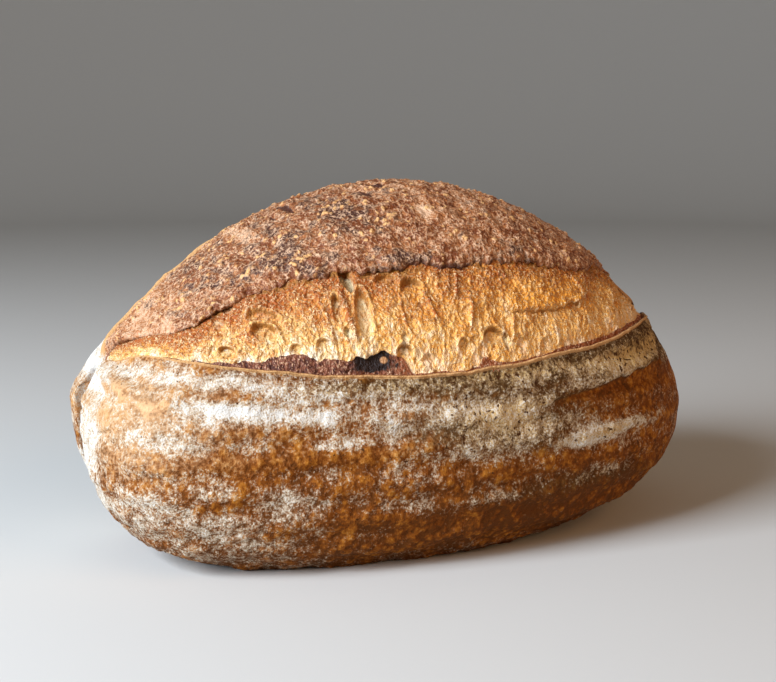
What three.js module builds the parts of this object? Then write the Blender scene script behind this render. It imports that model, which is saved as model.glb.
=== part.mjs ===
// White sourdough loaf, about 237 mm long, with one long score that has burst open in the oven.
//
// The loaf is one closed skin. Rings of points run round the section, from the middle of the flat
// base up the front, over the crest and down the back, and the rings follow each other from the
// left end to the right end. The rings keep to the lines that the eye sees: the foot of the loaf,
// the front lip of the score, the ragged edge of the browned dome and the rear lip. So each of
// those lines stays sharp, whatever the size of the faces.
//
// Millimetres, +Z up, +X along the loaf to the right, -Y towards the scored front.
// The origin is on the floor, under the middle of the bounding box.

import * as THREE from 'three';
import { ImprovedNoise } from 'three/addons/math/ImprovedNoise.js';

const { smoothstep, lerp, clamp, degToRad, radToDeg } = THREE.MathUtils;

// Size of the whole loaf
const halfLength = 118;
const crestHeight = 127.6;
const frontReach = 76;
const backReach = 70;

// Height of the widest line, at the middle and at the two ends
const waistHeight = 40;
const leftWaistHeight = 49;
const rightWaistHeight = 40;

// How far the round underside would dip under the floor if the loaf had not settled flat
const settledDepth = 5.6;

// How the section closes towards each end: a low power is blunt, a high one is pointed
const leftEnd = { plan: 0.51, top: 1.49, belly: 0.52 };
const rightEnd = { plan: 0.875, top: 1.37, belly: 0.89 };

// Roundness of the section: 2 is an ellipse, more is squarer
const underPower = 3.1;
const upperPower = 2.03;

// Broad swells and hollows that the rise in the oven left: centre, reach and height
const swells = [
  { at: new THREE.Vector3(-98, -42, 40), reach: 32, height: 7 },
  { at: new THREE.Vector3(-110, 24, 52), reach: 26, height: 3 },
  { at: new THREE.Vector3(-90, -52, 8), reach: 30, height: 4.8 },
  { at: new THREE.Vector3(96, -30, 12), reach: 34, height: -2 },
  { at: new THREE.Vector3(-62, 0, 100), reach: 34, height: 1.2 },
  { at: new THREE.Vector3(-20, -72, 14), reach: 40, height: 3.2 },
  { at: new THREE.Vector3(20, 66, 50), reach: 46, height: 1.8 },
  { at: new THREE.Vector3(100, -14, 74), reach: 26, height: 0.6 },
  { at: new THREE.Vector3(-58, -62, 4), reach: 30, height: 3.4 },
];
const swellCore = 0.7;

// Tucked folds at the ends, where the dough was sealed when it was shaped
const folds = [
  { side: -1, y: 7, width: 4.5, depth: 6 },
  { side: 1, y: 2, width: 6, depth: 4.5 },
];
const foldStarts = 0.86;
const foldDeepens = 0.96;

// Front lip of the score: its height over the floor, lowest near the middle
const lipHeight = 66.6;
const lipRise = 8;
const lipLowestX = -20;
const lipRun = 95;
const lipBend = 1.5;
const lipTops = { left: 72, right: 76.4 };
const lipDroop = 1.6;
const lipDroopFrom = 100;
const lipDroopTo = 108;

// The lens of the score closes at these shares of the half length. There the front lip
// reaches its corner angle, and the rear lip comes down to its own from further in.
const corners = {
  left: { share: 0.938, lipAngle: 101.5, rearFrom: 0.86, rearTo: 0.925, rearAngle: 104.5 },
  right: { share: 0.84, lipAngle: 66, rearFrom: 0.45, rearTo: 0.84, rearAngle: 72 },
};
const cornerStarts = 0.04;
const cornerFade = 0.045;
const rearLipAngle = 106;

// Edge of the browned dome, as an angle round the section (0 is the front, 90 the crest).
// It rises a little to both sides, and near each corner it climbs to the rear lip.
const domeEdgeAngle = 44;
const domeRise = {
  left: { height: 8.5, from: 0.15, to: 0.6 },
  right: { height: 3, from: 0, to: 0.3 },
};
const domeClimb = {
  left: { from: 0.7, run: 0.22, bend: 2.6 },
  right: { from: 0.34, run: 0.385, bend: 3 },
};
const domeLifts = [
  { x: -36, half: 6, lift: 2 },
  { x: -14, half: 12, lift: 3 },
  { x: 12, half: 16, lift: 1.2 },
  { x: 52, half: 12, lift: 2.4 },
];
const domeTears = [
  { size: 13, reach: 1.2 },
  { size: 4.3, reach: 1.4 },
];
const tearLane = 3.3;
const leastStrip = 3;

// Rim, groove, torn crumb and dome, as heights over the smooth skin
const rimWidth = 1.6;
const rimHeight = 0.9;
const rimEdge = 0.5;
const grooveDepth = 2.2;
const grooveWidth = 1.6;
const crumbDepth = 1.5;
const domeHeight = 1.2;
const domeUndercut = 1;
const earHeight = 1.4;
const rearGrooveDepth = 1.2;

// Places where the groove gapes: middle, half width along the loaf, extra width upwards and depth
const grooveGapes = [
  { x: -28, half: 8, extra: 8.5, deeper: 3 },
  { x: -44, half: 8, extra: 4, deeper: 1.5 },
  { x: 7, half: 3.5, extra: 4.5, deeper: 2 },
];

// Burst bubbles in the torn crumb: place along the loaf, height, reach and depth
const burstBubbles = [
  { x: -34, z: 96, reach: 5, depth: 3.4 },
  { x: -67, z: 85, reach: 7, depth: 2 },
  { x: -79, z: 74, reach: 4, depth: 1.4 },
  { x: -12, z: 93, reach: 4, depth: 1.2 },
];

// Fold that sags across the torn crumb, right of the middle
const crumbFold = { from: 17, to: 57, ease: 7, z: 86.6, height: 1.3, soft: 0.5, reach: 5 };

// How far the crumb sinks behind the lips towards the right corner of the score
const crumbSink = { depth: 3, from: 70, to: 90 };

// Strands of torn crumb, drawn out up the face, and the uneven swell under them
const strand = { width: 4.4, length: 22, height: 0.9 };
const crumbSwell = { size: 12, height: 0.6 };

// Ledge in the right flank, where the skin slipped over itself
const ledge = { x: 62, half: 30, z: 62, slope: 0.15, height: 1.1, soft: 1.5, reach: 7 };

// Rings left by the coiled proving basket, which wander a little
const basketRing = { pitch: 10, height: 0.5, wander: 2.5, wanderSize: 40 };

// Uneven crust and the blisters on the dome
const crustSwell = { size: 9, height: 0.8 };
const blister = { size: 4.6, height: 0.5 };

// Number of rings along the loaf, and how they crowd towards the blunt left end and the right end
const ringCount = 84;
const leftCrowding = 1.3;
const rightCrowding = 1.05;
const relaxPast = 0.01;

// Number of rows in each stretch of a ring
const rowCounts = { base: 3, underside: 8, flank: 7, crumb: 9, dome: 14, back: 8 };
const lowestFoot = -78;

// Where the score is shut, its rows still keep this share of their spacing
const leastSpread = 0.4;

// Shift that brings the middle of the bounding box over the origin
const middleX = -1.65;
const middleY = -3.58;

const noise = new ImprovedNoise();

// Even grain of a size and height, in all directions
function grain(point, { size, height }) {
  return height * noise.noise(point.x / size, point.y / size, point.z / size);
}

// Bell that is 1 at the middle and fades out past the reach
function bell(distance, reach) {
  return Math.exp(-((distance / reach) ** 2));
}

// The plain section at a share of the half length, from -1 at the left end to 1 at the right end
function sectionAt(share) {
  const roundness = Math.sqrt(Math.max(1 - share * share, 0));
  const side = smoothstep(share, -0.5, 0.5);
  const isLeft = share < 0;
  const plan = roundness ** lerp(leftEnd.plan, rightEnd.plan, side);
  const belly = roundness ** lerp(leftEnd.belly, rightEnd.belly, side);
  const top = roundness ** (isLeft ? leftEnd.top : rightEnd.top);
  const endWaist = isLeft ? leftWaistHeight : rightWaistHeight;
  const waist = lerp(waistHeight, endWaist, share * share);
  return {
    share,
    x: halfLength * share,
    waist,
    front: frontReach * plan,
    back: backReach * plan,
    rise: (crestHeight - waist) * top,
    drop: (waist + settledDepth) * belly,
  };
}

// Angle at which the front of the section meets the floor, or the lowest that leaves a strip there
function footAngle(section) {
  if (section.drop <= section.waist) return lowestFoot;
  return Math.max(radToDeg(Math.asin(-section.waist / section.drop)), lowestFoot);
}

function acrossAt(up) {
  const power = up < 0 ? underPower : upperPower;
  return (1 - Math.min(Math.abs(up), 1) ** power) ** (1 / power);
}

// A point of the plain section: -90 is the middle of the base, 0 the front, 90 the crest, 180 the back
function plainPoint(section, angle) {
  const up = Math.sin(degToRad(angle));
  const isFront = angle < 90;
  const side = isFront ? -section.front : section.back;
  const height = section.waist + (up < 0 ? section.drop : section.rise) * up;
  if (height >= 0) return new THREE.Vector3(section.x, side * acrossAt(up), height);
  const lowest = -section.waist / section.drop;
  const foot = radToDeg(Math.asin(lowest));
  const fromMiddle = isFront ? angle + 90 : 270 - angle;
  return new THREE.Vector3(section.x, (side * acrossAt(lowest) * fromMiddle) / (foot + 90), 0);
}

// Height of the broad swells and folds at a point of the plain section
function swellAt(point) {
  let height = 0;
  for (const swell of swells) {
    height += swell.height * bell(point.distanceTo(swell.at), swell.reach);
  }
  for (const fold of folds) {
    const nearEnd = smoothstep((fold.side * point.x) / halfLength, foldStarts, foldDeepens);
    height -= fold.depth * nearEnd * bell(point.y - fold.y, fold.width);
  }
  return height;
}

// The skin at an angle, raised by a relief height, and flat where it stands on the floor
function skinPoint(section, angle, reliefAt) {
  const point = plainPoint(section, angle);
  const isOnFloor = point.z <= 0;
  const core = new THREE.Vector3(section.x * swellCore, 0, section.waist);
  const outward = point.clone().sub(core).normalize();
  const height = swellAt(point) + (isOnFloor ? 0 : reliefAt(point));
  point.addScaledVector(outward, height);
  point.z = isOnFloor ? 0 : Math.max(point.z, 0);
  return point;
}

// Turns millimetres along the upper skin at an angle into degrees
function skinDegrees(section, angle, millimetres) {
  const turn = degToRad(angle);
  const pace = Math.hypot(section.front * Math.sin(turn), section.rise * Math.cos(turn));
  return radToDeg(millimetres / Math.max(pace, 1));
}

function cornerAt(share) {
  return share < 0 ? corners.left : corners.right;
}

// How far the score stands open: 1 along most of the loaf, 0 at the two corners
function opennessAt(share) {
  const corner = cornerAt(share);
  return 1 - smoothstep(Math.abs(share), corner.share - cornerFade, corner.share);
}

// Angle of the front lip, from its height over the floor
function lipAngleAt(section) {
  const droop = lipDroop * smoothstep(-section.x, lipDroopFrom, lipDroopTo);
  const run = Math.abs(section.x - lipLowestX) / lipRun;
  const top = section.x < lipLowestX ? lipTops.left : lipTops.right;
  const height = Math.min(lipHeight + lipRise * run ** lipBend, top) - droop;
  const steep = Math.max(height - section.waist, 0) / Math.max(section.rise, 1);
  const eased = steep / (1 + steep ** 8) ** (1 / 8);
  const corner = cornerAt(section.share);
  const closing = smoothstep(Math.abs(section.share), corner.share - cornerStarts, corner.share);
  return lerp(radToDeg(Math.asin(eased)), corner.lipAngle, closing);
}

// Angle of the rear lip, which comes down to meet the front one at the corners
function rearAngleAt(share) {
  const corner = cornerAt(share);
  return lerp(rearLipAngle, corner.rearAngle, smoothstep(Math.abs(share), corner.rearFrom, corner.rearTo));
}

// Angle of the dome's ragged edge, which climbs to the rear lip at both ends
function domeAngleAt(section, lipAngle, rearAngle) {
  const { share, x } = section;
  const away = Math.abs(share);
  const rise = share < 0 ? domeRise.left : domeRise.right;
  const climb = share < 0 ? domeClimb.left : domeClimb.right;
  const low = domeEdgeAngle + rise.height * smoothstep(away, rise.from, rise.to);
  const even = lerp(low, rearAngle, clamp((away - climb.from) / climb.run, 0, 1) ** climb.bend);
  let torn = 0;
  for (const { x: middle, half, lift } of domeLifts) {
    torn += lift * bell(x - middle, half);
  }
  domeTears.forEach(({ size, reach }, index) => {
    torn += reach * noise.noise(x / size, tearLane + index, tearLane);
  });
  const angle = even + skinDegrees(section, even, torn * opennessAt(share));
  return clamp(angle, lipAngle + leastStrip, rearAngle - leastStrip);
}

// Width and depth of the dark groove behind the front lip
function grooveAt(x) {
  let width = grooveWidth;
  let depth = grooveDepth;
  for (const gape of grooveGapes) {
    const gapes = bell(x - gape.x, gape.half);
    width += gape.extra * gapes;
    depth += gape.deeper * gapes;
  }
  return { width, depth };
}

// Rings of the proving basket, the ledge and the uneven floured crust of the flanks
function flankRelief(point) {
  const wander = grain(point, { size: basketRing.wanderSize, height: basketRing.wander });
  const rings = basketRing.height * Math.sin(((point.z + wander) / basketRing.pitch) * 2 * Math.PI);
  const ledgeLine = ledge.z + ledge.slope * (point.x - ledge.x);
  const isFront = point.y < 0 ? 1 : 0;
  const overLedge = point.z - ledgeLine;
  const slip = Math.tanh(overLedge / ledge.soft) * bell(overLedge, ledge.reach);
  const slipHere = isFront * ledge.height * slip * bell(point.x - ledge.x, ledge.half);
  return rings + slipHere + grain(point, crustSwell);
}

// Fold across the torn crumb: it stands out over its line and draws back under it
function foldRelief(point) {
  const { from, to, ease, z, height, soft, reach } = crumbFold;
  const here = smoothstep(point.x, from, from + ease) * (1 - smoothstep(point.x, to - ease, to));
  const over = point.z - z;
  return height * here * Math.tanh(over / soft) * bell(over, reach);
}

// Torn crumb, drawn out into strands that run up the face, with a few burst bubbles
function crumbRelief(point) {
  const { width, length } = strand;
  let height = strand.height * noise.noise(point.x / width, point.y / length, point.z / length);
  height += grain(point, crumbSwell);
  for (const bubble of burstBubbles) {
    const away = Math.hypot(point.x - bubble.x, point.z - bubble.z);
    height -= bubble.depth * bell(away, bubble.reach);
  }
  height -= crumbSink.depth * smoothstep(point.x, crumbSink.from, crumbSink.to);
  return height + foldRelief(point);
}

// Browned dome, uneven and blistered
function domeRelief(point) {
  return grain(point, crustSwell) + grain(point, blister);
}

// All rows of one ring, from the middle of the base round to it again
function rowsAt(section) {
  const { share, x } = section;
  const foot = footAngle(section);
  const lip = lipAngleAt(section);
  const rear = rearAngleAt(share);
  const dome = domeAngleAt(section, lip, rear);
  const open = opennessAt(share);
  const spread = lerp(leastSpread, 1, open);
  const groove = grooveAt(x);
  const past = (angle, millimetres) => angle + skinDegrees(section, angle, spread * millimetres);
  const crumbFoot = Math.min(past(lip, groove.width), lerp(lip, dome, 0.7));
  const rows = [];

  function row(angle, relief) {
    rows.push({ angle, relief });
  }
  function course(from, to, count, relief) {
    for (let step = 0; step < count; step += 1) {
      row(lerp(from, to, step / count), relief);
    }
  }

  course(-90, foot, rowCounts.base, () => 0);
  course(foot, 0, rowCounts.underside, flankRelief);
  course(0, past(lip, -2 * rimWidth), rowCounts.flank, flankRelief);
  row(past(lip, -rimWidth), (point) => flankRelief(point) + open * 0.7 * rimHeight);
  row(lip, (point) => flankRelief(point) + open * rimHeight);
  row(past(lip, rimEdge), () => open * 0.5 * rimHeight);
  row(past(lip, 1.3 * rimEdge), () => -open * groove.depth);
  row(lerp(lip, crumbFoot, 0.85), () => -open * groove.depth);
  course(crumbFoot, dome, rowCounts.crumb, (point) => open * (crumbRelief(point) - crumbDepth));
  row(past(dome, 1.2), (point) => domeRelief(point) - open * (crumbDepth + domeUndercut));
  row(past(dome, -0.8), (point) => domeRelief(point) + open * 0.6 * domeHeight);
  course(past(dome, 1.4), past(rear, -2.4), rowCounts.dome, (point) => domeRelief(point) + open * domeHeight);
  row(past(rear, -1.8), (point) => domeRelief(point) - open * rearGrooveDepth);
  row(past(rear, -0.8), (point) => flankRelief(point) - open * rearGrooveDepth);
  row(rear, (point) => flankRelief(point) + open * earHeight);
  course(past(rear, 1.8), 180, rowCounts.back, flankRelief);
  course(180, 180 - foot, rowCounts.underside, flankRelief);
  course(180 - foot, 270, rowCounts.base, () => 0);
  return rows;
}

// Rings crowd towards both ends, where the loaf closes
function ringShare(ring) {
  const spot = (2 * ring) / ringCount - 1;
  const crowding = spot < 0 ? leftCrowding : rightCrowding;
  const crowded = Math.sign(spot) * (1 - (1 - Math.abs(spot)) ** crowding);
  return Math.sin((crowded * Math.PI) / 2);
}

// The relief fades out right at the ends, and the rows spread evenly there
function ringPoints(ring) {
  const section = sectionAt(ringShare(ring));
  const away = Math.abs(section.share);
  const relax = smoothstep(away, cornerAt(section.share).share + relaxPast, 1);
  const fade = 1 - smoothstep(away, 0.97, 1);
  const rows = rowsAt(section);
  const points = rows.map(({ angle, relief }, index) => {
    const even = -90 + (360 * index) / rows.length;
    return skinPoint(section, lerp(angle, even, relax), (point) => fade * relief(point));
  });
  points.push(points[0].clone());
  return points;
}

function makeLoafGeometry() {
  const rowCount = rowsAt(sectionAt(0)).length;
  const geometry = new THREE.SphereGeometry(1, rowCount, ringCount);
  const position = geometry.getAttribute('position');
  for (let ring = 0; ring <= ringCount; ring += 1) {
    ringPoints(ring).forEach((point, row) => {
      const vertex = ring * (rowCount + 1) + row;
      position.setXYZ(vertex, point.x - middleX, point.y - middleY, point.z);
    });
  }
  geometry.computeVertexNormals();
  return geometry;
}

// Browned crust, dusted with flour
const crust = new THREE.MeshStandardMaterial({ color: 0xb98a52, roughness: 0.85, metalness: 0 });

const loaf = new THREE.Mesh(makeLoafGeometry(), crust);
loaf.name = 'loaf';

const group = new THREE.Group();
group.add(loaf);

export default group;
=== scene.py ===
"""White sourdough loaf: a floured crust, the crumb that the score tore open, and the browned dome.

The crust, the crumb and the dome are three closed skins that overlap like the real layers do, so
the rim of the score stands in front of the crumb and the dome's ragged edge hangs over it.
Sizes are in millimetres in the loaf's own frame and become metres when a mesh is made.
"""

import logging
import math
from dataclasses import dataclass, field
from enum import Enum

import bmesh
import bpy
import numpy as np
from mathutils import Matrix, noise


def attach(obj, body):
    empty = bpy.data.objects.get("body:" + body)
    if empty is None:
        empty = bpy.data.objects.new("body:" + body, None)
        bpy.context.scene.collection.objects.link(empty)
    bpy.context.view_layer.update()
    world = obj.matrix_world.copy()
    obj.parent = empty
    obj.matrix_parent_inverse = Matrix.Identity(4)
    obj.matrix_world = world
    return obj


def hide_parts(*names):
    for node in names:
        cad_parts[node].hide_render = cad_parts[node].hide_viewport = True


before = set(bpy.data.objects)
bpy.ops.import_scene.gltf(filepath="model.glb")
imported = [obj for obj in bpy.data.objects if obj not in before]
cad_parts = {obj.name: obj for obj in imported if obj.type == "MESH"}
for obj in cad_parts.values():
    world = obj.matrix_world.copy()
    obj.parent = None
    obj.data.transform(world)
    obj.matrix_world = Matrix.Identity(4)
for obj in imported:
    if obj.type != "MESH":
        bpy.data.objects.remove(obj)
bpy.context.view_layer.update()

LOG = logging.getLogger("loaf")
MM = 0.001

# Shift that brings the middle of the loaf's bounding box over the origin
MIDDLE = np.array([-1.65, -3.58, 0.0])

Array = np.ndarray
Values = float | np.ndarray
Size = float | tuple[float, float, float]
Steps = tuple[tuple[float, float], ...]
Weights = tuple[tuple[str, float], ...]

# Degrees round the section: the middle of the base, the crest, the back, and the base again
BASE_START = -90.0
CREST = 90.0
BACK = 180.0
BASE_END = 270.0

# Least length in millimetres, and least angle in degrees, that anything is divided by
LEAST = 1e-6
LEAST_ANGLE = 1e-3

# Points that are nearer than this in metres are one point
WELD = 1e-6

# How steeply a sharp ridge of a ridged pattern falls off
RIDGE_FALL = 3.0

# Inputs of the colour mix node: its share, the colour under it and the one over it; its output
MIX_SHARE, MIX_UNDER, MIX_OVER = 0, 6, 7
MIX_RESULT = 2

# Where the score is shut, its rows keep this share of their spacing and of their relief
SHUT_SPREAD = 0.4
SHUT_RELIEF = 0.3


class Grain(Enum):
    """Kinds of pattern that the relief is made of."""

    SOFT = "soft"
    RIDGED = "ridged"


def ease(value: Array, low: Values, high: Values) -> Array:
    """Smooth step from 0 at low to 1 at high."""
    share = np.clip((value - low) / (high - low), 0.0, 1.0)
    return share * share * (3.0 - 2.0 * share)


def bell(distance: Array, reach: float) -> Array:
    """Bell that is 1 at no distance and fades out past the reach."""
    return np.exp(-((distance / reach) ** 2))


def mix(low: Values, high: Values, share: Array) -> Array:
    """Straight blend from low to high."""
    return low + (high - low) * share


def grain(points: Array, sizes: Size, kind: Grain = Grain.SOFT) -> Array:
    """Works out a pattern of lumps or ridges at each point.

    Args:
        points: Places in millimetres, with x, y and z on the last axis.
        sizes: Size of a lump, for all three directions or for each.
        kind: Soft lumps from -1 to 1, or sharp ridges from 0 to 1.

    Returns:
        One value for each point.
    """
    scaled = (points / np.asarray(sizes)).reshape(-1, 3).tolist()
    values = np.fromiter((noise.noise(place) for place in scaled), float, len(scaled))
    values = values.reshape(points.shape[:-1])
    if kind is Grain.RIDGED:
        return 1.0 - np.clip(np.abs(values) * RIDGE_FALL, 0.0, 1.0)
    return values


def cells(points: Array, sizes: Size) -> tuple[Array, Array]:
    """Works out how far each point is from the two nearest of a set of scattered seeds.

    Args:
        points: Places in millimetres, with x, y and z on the last axis.
        sizes: Mean distance of the seeds, for all three directions or for each.

    Returns:
        The distances to the nearest and to the second nearest seed, as shares of the size.
    """
    scaled = (points / np.asarray(sizes)).reshape(-1, 3).tolist()
    found = np.array([noise.voronoi(place)[0][:2] for place in scaled])
    found = found.reshape(points.shape[:-1] + (2,))
    return found[..., 0], found[..., 1]


@dataclass(frozen=True)
class Band:
    """A stretch over which something sets in: none of it at one value, all of it at the other."""

    none: float
    full: float

    def at(self, value: Array) -> Array:
        """Share that has set in, from 0 to 1."""
        return ease(value, self.none, self.full)


@dataclass(frozen=True)
class Stretch:
    """A local change along a line: its middle, its half length and its size."""

    middle: float
    half: float
    size: float

    def at(self, value: Array) -> Array:
        """Size of the change at each value."""
        return self.size * bell(value - self.middle, self.half)


@dataclass(frozen=True)
class Lumps:
    """Uneven lumps or ridges of a size and a height."""

    size: Size
    height: float
    kind: Grain = Grain.SOFT

    def at(self, points: Array) -> Array:
        """Height at each point."""
        return self.height * grain(points, self.size, self.kind)


@dataclass(frozen=True)
class Blisters:
    """Round caps over scattered seeds: their spacing, their reach as a share of it, their height."""

    spacing: float
    reach: float
    height: float

    def at(self, points: Array) -> Array:
        """How far each point is up a blister: 1 on a seed and 0 past the reach."""
        nearest = cells(points, self.spacing)[0]
        return np.sqrt(np.clip(1.0 - (nearest / self.reach) ** 2, 0.0, 1.0))


@dataclass(frozen=True)
class Rings:
    """Level rings that the coiled proving basket left, which wander a little."""

    pitch: float
    height: float
    wander: Lumps

    def at(self, points: Array) -> Array:
        """Height of the rings at each point."""
        turns = (points[..., 2] + self.wander.at(points)) / self.pitch
        return self.height * np.sin(turns * 2 * math.pi)


@dataclass(frozen=True)
class Patch:
    """A soft oval patch on the skin: its middle, its half sizes, how strong it is and its slope."""

    x: float
    z: float
    half_x: float
    half_z: float
    strength: float
    slope: float = 0.0

    def at(self, points: Array) -> Array:
        """Strength of the patch at each point, seen from the front."""
        along = points[..., 0] - self.x
        up = points[..., 2] - self.z - self.slope * along
        return self.strength * np.exp(-((along / self.half_x) ** 2) - (up / self.half_z) ** 2)


def patchwork(patches: tuple[Patch, ...], points: Array) -> Array:
    """Strength of all patches together at each point."""
    return sum(patch.at(points) for patch in patches)


# Turns the distance in front of the loaf's middle plane into a share, with a soft edge
FRONT = Band(-1.0, 1.0)


@dataclass(frozen=True)
class TornBubble:
    """Form of a torn bubble, in shares of its half sizes: a hollow under a sharp arch."""

    wall: Band = Band(0.72, 1.0)
    upper: Band = Band(-0.9, 0.7)
    rim: Stretch = Stretch(1.06, 0.09, 1.0)
    rim_upper: Band = Band(-0.2, 0.4)
    closed_rim: float = 0.6
    shade: Stretch = Stretch(0.84, 0.15, 1.0)
    shade_upper: Band = Band(0.0, 0.6)

    def at(self, along: Array, up: Array, there: Array, closed: float) -> tuple[Array, Array, Array]:
        """Hollow, rim and shade of a bubble.

        Args:
            along: Distance from its middle along the loaf, as a share of its half width.
            up: Distance from its middle up the skin, as a share of its half height.
            there: 1 where the bubble is, 0 where it isn't.
            closed: 0 for a hollow that fades out downwards, 1 for one that is closed all round.

        Returns:
            Shares of its depth, of its raised rim and of the shade under its rim.
        """
        away = np.hypot(along, up)
        sunk = (1.0 - self.wall.at(away)) * np.maximum(self.upper.at(up), closed)
        rim = self.rim.at(away) * np.maximum(self.rim_upper.at(up), self.closed_rim * closed)
        shade = self.shade.at(away) * self.shade_upper.at(up)
        return there * sunk, there * rim, there * shade


TORN_BUBBLE = TornBubble()


@dataclass(frozen=True)
class Arch:
    """A torn bubble at its own place: shallow or closed at its lower side, upright or leaning."""

    x: float
    z: float
    half_x: float
    half_z: float
    depth: float
    closed: float = 0.0
    lean: float = 0.0
    least_pale: float = 0.45
    deep_shade: float = 0.6
    most_shade: float = 1.2

    @property
    def pale(self) -> float:
        """How pale the thin skin in the hollow is."""
        return self.least_pale + (1.0 - self.least_pale) * self.closed

    @property
    def dark(self) -> float:
        """How dark the shade under the rim is."""
        return min(self.most_shade, self.deep_shade * self.depth)

    def at(self, points: Array) -> tuple[Array, Array, Array]:
        """Shares of the depth, of the raised rim and of the shade under it, seen from the front."""
        up = (points[..., 2] - self.z) / self.half_z
        along = (points[..., 0] - self.x - self.lean * (points[..., 2] - self.z)) / self.half_x
        in_front = (points[..., 1] < 0) * 1.0
        return TORN_BUBBLE.at(along, up, in_front, self.closed)


@dataclass(frozen=True)
class ScatteredBubbles:
    """Small torn bubbles all over the skin: their mean distance, their share and their reach."""

    spacing: tuple[float, float, float]
    share: float
    depth: float
    least_reach: float = 0.24
    most_reach: float = 0.5
    shuffle: tuple[float, float, float] = (12.9898, 78.233, 37.719)
    shuffle_scale: float = 4375.85
    reach_shuffle: float = 17.0

    def at(self, lane: Array) -> tuple[Array, ...]:
        """Scatters the bubbles.

        Args:
            lane: Places in millimetres along the skin, up the skin and across it.

        Returns:
            Shares of the depth, of the raised rims and of the shade under them.
        """
        scaled = (lane / np.asarray(self.spacing)).reshape(-1, 3)
        seeds = np.array([noise.voronoi(place)[1][0][:] for place in scaled.tolist()])
        away = scaled - seeds
        chance = np.modf(np.abs(np.sin(seeds @ np.array(self.shuffle)) * self.shuffle_scale))[0]
        reach = mix(self.least_reach, self.most_reach, np.modf(chance * self.reach_shuffle)[0])
        there = (chance < self.share).astype(float)
        parts = TORN_BUBBLE.at(away[:, 0] / reach, away[:, 1] / reach, there, 0.0)
        return tuple(part.reshape(lane.shape[:-1]) for part in parts)


@dataclass(frozen=True)
class Swell:
    """A broad swell or hollow of the dough."""

    x: float
    y: float
    z: float
    reach: float
    height: float


@dataclass(frozen=True)
class Fold:
    """A tucked fold at one end of the loaf."""

    side: int
    y: float
    width: float
    depth: float


@dataclass(frozen=True)
class Closing:
    """How the section closes towards one end: a low power is blunt, a high one is pointed."""

    plan: float
    top: float
    belly: float
    waist: float


@dataclass(frozen=True)
class Section:
    """The plain sections of a row of rings, one value for each ring."""

    share: Array
    x: Array
    waist: Array
    front: Array
    back: Array
    rise: Array
    drop: Array


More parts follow.
